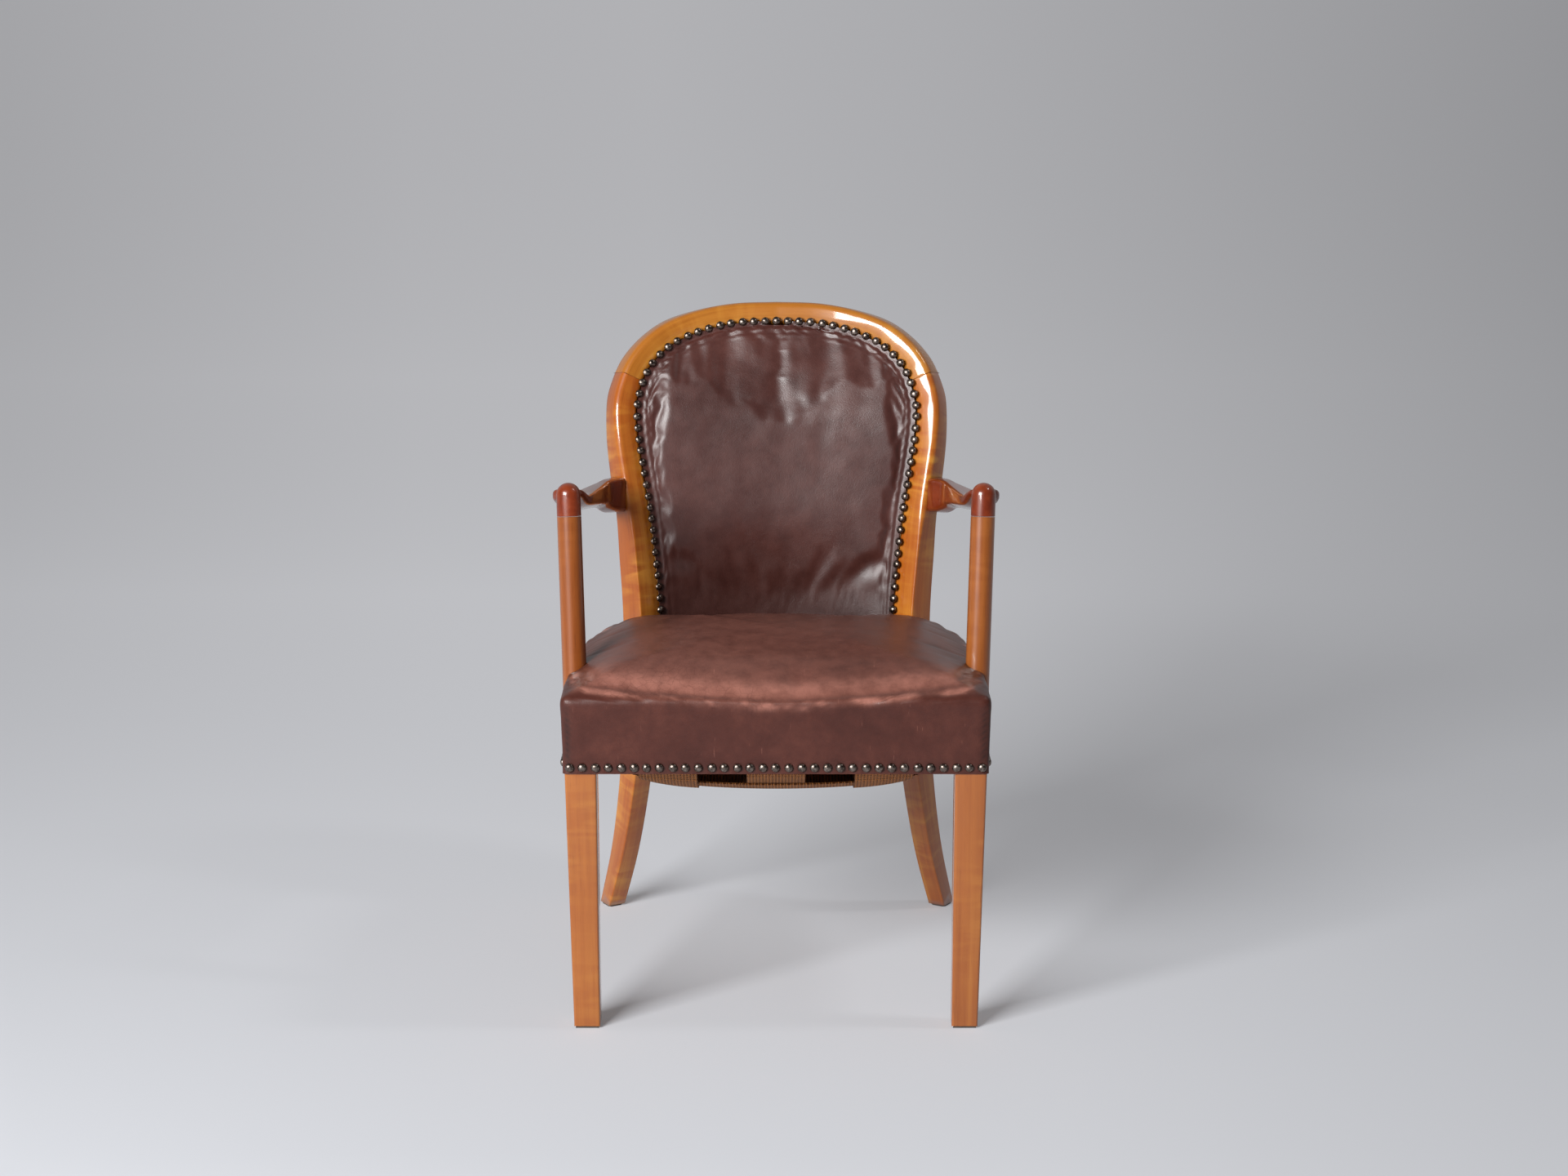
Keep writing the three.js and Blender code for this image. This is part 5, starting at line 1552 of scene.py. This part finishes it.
def stained_birch(name, dark, middle, light, figure):
    """Flamed birch under a coloured lacquer: streaks along the member and ripples across it."""
    wood = Finish(name, {
        "Specular IOR Level": 0.35, "Coat Weight": 0.8, "Coat Roughness": 0.06, "Coat IOR": 1.5,
    })
    streaks = wood.noise(wood.place((70, 70, 2.6), "grain"), detail=6, rough=0.62, bend=0.4)
    broad = wood.noise(wood.place((16, 16, 1.3), "grain"), detail=3, rough=0.5)
    ripples = wood.noise(wood.place((14, 14, 62), "grain"), detail=3, rough=0.45, bend=0.7)
    ripple_reach = wood.noise(wood.place((9, 9, 5), "grain"), detail=2)
    pores = wood.noise(wood.place((1100, 1100, 26), "grain"), detail=2)
    tone = wood.sum("ADD", wood.sum("MULTIPLY", streaks, 0.5), wood.sum("MULTIPLY", broad, 0.5))
    colour = wood.ramp(tone, (0.3, dark), (0.5, middle), (0.72, light))
    ripple = wood.sum("MULTIPLY", wood.levels(ripples, 0.4, 0.62), wood.levels(ripple_reach, 0.45, 0.62))
    colour = wood.blend(wood.sum("MULTIPLY", ripple, figure), colour, light)
    dark_pores = wood.levels(pores, 0.62, 0.72, 0, 0.35)
    colour = wood.blend(dark_pores, colour, dark, "MULTIPLY")
    wood.raised(streaks, 0.12, 0.0005)
    wood.raised(wood.levels(pores, 0.6, 0.75, 1, 0), 0.10, 0.0002)
    rough = wood.levels(streaks, 0.3, 0.7, 0.30, 0.42)
    return wood.done(Base_Color=colour, Roughness=rough)


def bare_beech():
    wood = Finish("bare_beech", {"Specular IOR Level": 0.3})
    streaks = wood.noise(wood.place((9, 9, 60)), detail=6, rough=0.6, bend=0.6)
    flecks = wood.noise(wood.place((260, 260, 40)), detail=2)
    colour = wood.ramp(
        streaks, (0.3, tint(150, 108, 72)), (0.55, tint(184, 142, 100)), (0.75, tint(202, 164, 122)),
    )
    colour = wood.blend(wood.levels(flecks, 0.58, 0.7, 0, 0.5), colour, tint(120, 80, 50))
    wood.raised(streaks, 0.25, 0.0006)
    return wood.done(Base_Color=colour, Roughness=wood.levels(flecks, 0.3, 0.7, 0.6, 0.8))


def worn_leather(name, deep, middle, pale, worn_and_sheen, gloss, shine, shift):
    """Old brown leather: fine pebbling, creases and scratches, paler where it has been rubbed and under a painted
    sheen and highlight, and near black under painted shade.
    """
    hide = Finish(name, {"Specular IOR Level": shine, "Coat Weight": 0.12, "Coat Roughness": 0.3})
    here = hide.place()
    clouds = hide.noise(here, scale=8, detail=5, rough=0.6)
    mottle = hide.noise(here, scale=46, detail=5, rough=0.65)
    tone = hide.sum("ADD", hide.sum("MULTIPLY", clouds, 0.55), hide.sum("MULTIPLY", mottle, 0.45))
    colour = hide.ramp(tone, (0.34, deep), (0.5, middle), (0.66, pale))
    # Paler where the leather is worn, and where the painted highlight along the roll and the painted sheen over the
    # seat's top lie.
    rubbed_and_sheen = hide.sum("MULTIPLY", hide.painted("wear_and_sheen"), hide.levels(mottle, 0.34, 0.6, 0.62, 1.0))
    colour = hide.blend(rubbed_and_sheen, colour, worn_and_sheen)
    bent = hide.node("ShaderNodeMix", {0: 0.035}, data_type="VECTOR", output=1)
    warp = bent.node
    hide.feed(warp.inputs[4], here)
    hide.feed(warp.inputs[5], hide.node("ShaderNodeTexNoise", {"Vector": here, "Scale": 14}, output="Color"))
    cracks = hide.levels(hide.cells(warp.outputs[1], 95, "DISTANCE_TO_EDGE"), 0.0, 0.045, 1, 0)
    cracks = hide.sum("MULTIPLY", cracks, hide.levels(clouds, 0.42, 0.6, 0.15, 0.8))
    scratches = hide.noise(hide.place((420, 30, 30), turn=(0.3, 0.2, shift)), detail=2)
    scratch = hide.sum("MULTIPLY", hide.levels(scratches, 0.70, 0.74), hide.levels(mottle, 0.45, 0.6))
    colour = hide.blend(hide.sum("MULTIPLY", cracks, 0.4), colour, deep)
    colour = hide.blend(hide.sum("MULTIPLY", scratch, 0.35), colour, worn_and_sheen)
    # Painted shade: near black in the corner pleats and creases, round the nail rims and low on the back above the
    # seat.
    colour = hide.blend(hide.sum("MULTIPLY", hide.painted("fold_and_shade"), 0.7), colour, tint(30, 17, 14))
    pebbles = hide.cells(here, 780)
    hide.raised(mottle, 0.25, 0.0012)
    hide.raised(cracks, -0.35, 0.0006)
    hide.raised(pebbles, 0.34, 0.0003)
    rough = hide.levels(tone, 0.35, 0.65, gloss, gloss + 0.13)
    rough = hide.sum("SUBTRACT", rough, hide.sum("MULTIPLY", hide.painted("wear_and_sheen"), 0.06))
    return hide.done(Base_Color=colour, Roughness=rough)


def antique_nickel():
    metal = Finish("antique_nickel", {"Metallic": 1.0})
    patina = metal.noise(metal.place(), scale=260, detail=4, rough=0.6)
    colour = metal.ramp(
        patina, (0.35, tint(74, 64, 58)), (0.55, tint(124, 112, 104)), (0.75, tint(160, 150, 142)),
    )
    metal.raised(patina, 0.15, 0.0003)
    return metal.done(Base_Color=colour, Roughness=metal.levels(patina, 0.3, 0.7, 0.22, 0.42))


def plain_steel():
    metal = Finish("plain_steel", {"Metallic": 1.0})
    stains = metal.noise(metal.place(), scale=120, detail=5, rough=0.6)
    colour = metal.ramp(stains, (0.35, tint(74, 62, 54)), (0.6, tint(132, 128, 124)))
    metal.raised(stains, 0.1, 0.0003)
    return metal.done(Base_Color=colour, Roughness=metal.levels(stains, 0.3, 0.7, 0.3, 0.55))


# Width of one band of the wave texture at a scale of 1
BAND_WIDTH = 0.31416


def woven(name, yarn, dark, light, attribute=None):
    """Plain weave: yarns that pass over and under each other, with painted shade in the gaps."""
    cloth = Finish(name, {"Specular IOR Level": 0.15, "Sheen Weight": 0.1})
    here = cloth.place(attribute=attribute)
    scale = BAND_WIDTH / (2 * yarn)
    warp = cloth.bands(here, scale * 2, "X", 0.15)
    weft = cloth.bands(here, scale * 2, "Y", 0.15)
    across, along = (cloth.sum("SUBTRACT", cloth.bands(here, scale, way), 0.5) for way in "XY")
    over = cloth.sum("GREATER_THAN", cloth.sum("MULTIPLY", across, along), 0.0)
    height = cloth.blend(over, warp, weft)
    hairs = cloth.noise(here, scale=900, detail=3)
    # Painted shade: the colour follows the yarns' height, dark down in the gaps and pale on the raised yarns.
    tone = cloth.sum("ADD", cloth.sum("MULTIPLY", height, 0.7), cloth.sum("MULTIPLY", hairs, 0.4))
    colour = cloth.ramp(tone, (0.25, dark), (0.8, light))
    colour = cloth.blend(cloth.levels(cloth.noise(here, scale=14, detail=3), 0.4, 0.7, 0, 0.3), colour, dark)
    cloth.raised(height, 0.7, yarn * 0.35)
    cloth.raised(hairs, 0.3, yarn * 0.1)
    return cloth.done(Base_Color=colour, Roughness=cloth.levels(hairs, 0.3, 0.7, 0.8, 0.95))


def pressed_felt():
    cloth = Finish("pressed_felt", {"Specular IOR Level": 0.1, "Sheen Weight": 0.3})
    fibres = cloth.noise(cloth.place(), scale=1200, detail=5, rough=0.7)
    colour = cloth.ramp(fibres, (0.3, tint(58, 52, 48)), (0.7, tint(104, 96, 90)))
    cloth.raised(fibres, 0.5, 0.0006)
    return cloth.done(Base_Color=colour, Roughness=cloth.levels(fibres, 0.3, 0.7, 0.85, 0.98))


orange_birch = stained_birch("orange_birch", tint(126, 60, 18), tint(158, 88, 32), tint(182, 116, 48), 0.5)
russet_birch = stained_birch("russet_birch", tint(110, 52, 16), tint(139, 73, 26), tint(164, 96, 42), 0.4)
amber_birch = stained_birch("amber_birch", tint(136, 60, 11), tint(170, 90, 24), tint(208, 142, 52), 0.9)
honey_birch = stained_birch("honey_birch", tint(144, 78, 18), tint(175, 107, 32), tint(202, 140, 54), 0.7)
red_birch = stained_birch("red_birch", tint(90, 27, 7), tint(120, 44, 14), tint(144, 64, 28), 0.5)
beech = bare_beech()
# The seat's pale worn colour also carries its painted highlight and sheen.
seat_hide = worn_leather(
    "seat_hide", tint(62, 28, 21), tint(73, 35, 27), tint(86, 44, 34), tint(160, 106, 92), 0.36, 0.28, 0.2,
)
back_hide = worn_leather(
    "back_hide", tint(56, 25, 20), tint(66, 30, 24), tint(76, 37, 30), tint(96, 52, 44), 0.34, 0.6, 1.1,
)
nickel = antique_nickel()
steel = plain_steel()
# Each weave's dark colour is painted shade in its gaps, and also the colour of its darker patches.
jute = woven("jute_webbing", 0.0042, tint(84, 46, 18), tint(204, 132, 72), "weave")
hessian = woven("hessian_weave", 0.0013, tint(96, 72, 44), tint(182, 150, 104))
felt = pressed_felt()


# The chair is put together.

leg = front_leg()
settle_pair(leg, "front_legs", orange_birch, "orange_wood", "front_leg")
settle_pair(back_leg(), "back_posts", amber_birch, "orange_wood", "back_leg")
settle(crest_rail(), honey_birch, "honey_wood", "crest_rail")
settle_pair(arm(), "arms", red_birch, "red_wood", "arm")
settle_pair(arm_post(), "arm_posts", russet_birch, "orange_wood", "arm_post")

seat_rows = {"front": front_nails(), "right": side_nails(1), "left": side_nails(-1), "rear": rear_nails()}
seat = seat_cover([nail for row in seat_rows.values() for nail in row])
settle(seat, seat_hide, "seat_leather", "seat_cover", "seat_stuffing")
for side, row in seat_rows.items():
    settle(hammer(f"seat_nail_row_{side}", row, len(row)), nickel, "nails", f"seat_nails_{side}")

for side, spacing, lift, seed, nodes, fill in (
    ("front", ARCH_NAIL_SPACING, COVER_LIFT + HIDE, 21, ["back_cover_front", "back_stuffing"], 0.7),
    ("rear", REAR_NAIL_SPACING, REAR_LIFT + HIDE, 22, ["back_cover_rear"], 0.3),
):
    row = arch_nails(side, spacing, lift, seed)
    settle(back_leather(side, row), back_hide, "back_leather", *nodes)
    settle(hammer(f"back_nail_row_{side}", row, 31), nickel, "nails", f"back_nails_{side}")

for weave, node, flat, rail in (
    (back_hessian(), "back_hessian", (0.42, 0.47), "back_lower_rail"),
    (seat_hessian(), "seat_hessian", (0.56, 0.50), "seat_rail_front"),
):
    weave_area = area_of(weave) / 2
    settle(weave, hessian, "hessian", node)

for i in range(3):
    settle(strap(f"web_long_{i + 1}", True, WEB_COLUMNS[i], i), jute, "jute_web", f"webbing_long_{i + 1}")
    settle(strap(f"web_cross_{i + 1}", False, WEB_ROWS[i], i), jute, "jute_web", f"webbing_cross_{i + 1}")

for i, x in enumerate(WEB_COLUMNS):
    for j, y in enumerate(WEB_ROWS):
        name = f"{j + 1}{i + 1}"
        settle(spring(f"coil_{name}", x, y), steel, "steel", f"spring_{name}")

KEPT = {
    "seat_rail": beech, "corner_block": beech, "crest_dowel": beech, "back_lower_rail": beech,
    "corner_screw": steel, "arm_screw": steel, "arm_post_screw": steel,
    "front_glide": felt, "back_glide": felt,
}
for name in frame["nodes"]:
    for start, material in KEPT.items():
        if name.startswith(start):
            for held in bpy.data.objects[name].material_slots:
                held.material = material


# Studio: pale paper, a large soft lamp at the front left, a small one high at the right, a fill behind

def grey(level):
    return (level, level, level * 1.035, 1)


# Painted light on the paper, which only the camera and reflections see: its glow from left to right, close to the
# chair and far behind it, and how the first gives way to the second with the distance
NEAR_STOPS = ((0, grey(0.02)), (0.27, grey(0.05)), (0.5, grey(0.09)), (0.7, grey(0.12)), (1, grey(0.13)))
FAR_STOPS = ((0, grey(0.31)), (0.27, grey(0.375)), (0.42, grey(0.385)), (0.6, grey(0.35)), (1, grey(0.235)))
FADE_STOPS = tuple((place, (share, share, share, 1)) for place, share in ((0, 0), (0.2, 0.42), (0.5, 0.84), (1, 1)))
PAPER_WIDTH = 0.26
UNDER_LAMP = (-2.2, -3.2, 0)


def pale_floor():
    """Pale paper that fades evenly into the distance: far from the lamps a painted glow, which only the camera and
    reflections see, gives it its pale tone, and under the key lamp painted shade darkens it.
    """
    fresh()
    bpy.ops.mesh.primitive_plane_add(size=240, location=(0, 0, 0))
    floor = newly_made("floor")
    paper = Finish("pale_paper", {"Specular IOR Level": 0.1, "Roughness": 0.9})
    here = paper.place()
    split = paper.node("ShaderNodeSeparateXYZ", {0: here}).node
    behind = paper.sum("ADD", split.outputs[1], 0.7)
    away = paper.sum("MAXIMUM", behind, paper.sum("MULTIPLY", behind, -0.3))
    side = paper.sum("DIVIDE", split.outputs[0], paper.sum("ADD", away, 3.4))
    beyond = paper.sum("MAXIMUM", paper.sum("SUBTRACT", paper.sum("ABSOLUTE", side, 0), PAPER_WIDTH), 0.0)
    far = paper.levels(paper.sum("ADD", away, paper.sum("MULTIPLY", beyond, 5.0)), 0.0, 6.0)
    across = paper.levels(side, -PAPER_WIDTH, PAPER_WIDTH)
    # Painted light: the paper's glow, blended from its near and far tones, shown to camera and mirror rays.
    fade = paper.ramp(far, *FADE_STOPS)
    glow = paper.blend(fade, paper.ramp(across, *NEAR_STOPS), paper.ramp(across, *FAR_STOPS))
    rays = paper.node("ShaderNodeLightPath").node
    seen = paper.sum("MAXIMUM", rays.outputs["Is Camera Ray"], rays.outputs["Is Glossy Ray"])
    above = paper.sum("SUBTRACT", 1.0, paper.node("ShaderNodeNewGeometry", output="Backfacing"))
    # Painted shade: the paper's colour is darker near the spot under the key lamp, which evens out the lamp's pool
    # of light.
    foot = paper.node("ShaderNodeVectorMath", {0: here, 1: UNDER_LAMP}, output="Value", operation="DISTANCE")
    tone = paper.ramp(
        paper.levels(foot, 0.0, 2.8),
        (0.1, tint(92, 93, 96)), (0.55, tint(146, 148, 152)), (1.0, tint(196, 198, 203)),
    )
    floor.data.materials.append(paper.done(
        Base_Color=tone, Emission_Color=glow, Emission_Strength=seen, Alpha=above,
    ))


LAMPS_AIM = Vector((0, 0, 0.5))


def soft_lamp(name, direction, distance, size, power):
    data = bpy.data.lights.new(name, "AREA")
    data.shape, data.size, data.size_y = "RECTANGLE", size[0], size[1]
    data.energy = power
    lamp = bpy.data.objects.new(name, data)
    bpy.context.scene.collection.objects.link(lamp)
    direction = Vector(direction).normalized()
    lamp.location = LAMPS_AIM + direction * distance
    lamp.rotation_euler = direction.to_track_quat("Z", "Y").to_euler()
    lamp.visible_camera = False
    return lamp


def studio_lamps():
    soft_lamp("key", (-0.53, -0.76, 0.38), 4.2, (2.1, 1.5), 268)
    soft_lamp("window", (0.59, -0.14, 0.79), 2.6, (0.24, 0.46), 7)
    fill = soft_lamp("rear_fill", (0.5, 0.8, 0.3), 4.0, (2, 2), 60)
    fill.visible_glossy = False
    # The fill lights the chair's rear side and leaves the paper as it is.
    chair = bpy.data.collections.new("chair")
    for piece in bpy.context.scene.objects:
        if piece.type == "MESH" and piece.name != "floor":
            chair.objects.link(piece)
    fill.light_linking.receiver_collection = chair


ROOM_LIGHT = 0.09
BACKDROP_GLOW = 0.3


def pale_room():
    """Weak light from all round, and a paler wall behind the chair that only shows and is mirrored."""
    world = bpy.data.worlds.new("studio")
    bpy.context.scene.world = world
    world.use_nodes = True
    light = world.node_tree.nodes["Background"]
    light.inputs["Color"].default_value = tint(250, 250, 253)
    room = Nodes(world.node_tree)
    rays = room.node("ShaderNodeLightPath").node
    way = room.node("ShaderNodeSeparateXYZ", {0: room.node("ShaderNodeTexCoord", output="Generated")}).node
    wall = room.levels(way.outputs["Y"], -0.1, 0.5, 0.0, BACKDROP_GLOW)
    mirrored = room.sum("MULTIPLY", wall, rays.outputs["Is Glossy Ray"])
    shown = room.sum("MULTIPLY", rays.outputs["Is Camera Ray"], BACKDROP_GLOW)
    room.feed(light.inputs["Strength"], room.sum("ADD", room.sum("MAXIMUM", mirrored, shown), ROOM_LIGHT))


def photo_camera():
    data = bpy.data.cameras.new("camera")
    data.lens, data.sensor_width = 71.25, 36
    camera = bpy.data.objects.new("camera", data)
    camera.location = (0.0105, -4.109, 1.44)
    camera.rotation_euler = (math.radians(90 - 12.55), 0, 0)
    bpy.context.scene.collection.objects.link(camera)
    bpy.context.scene.camera = camera


pale_floor()
studio_lamps()
pale_room()
bpy.context.scene.view_settings.view_transform = "Standard"
photo_camera()
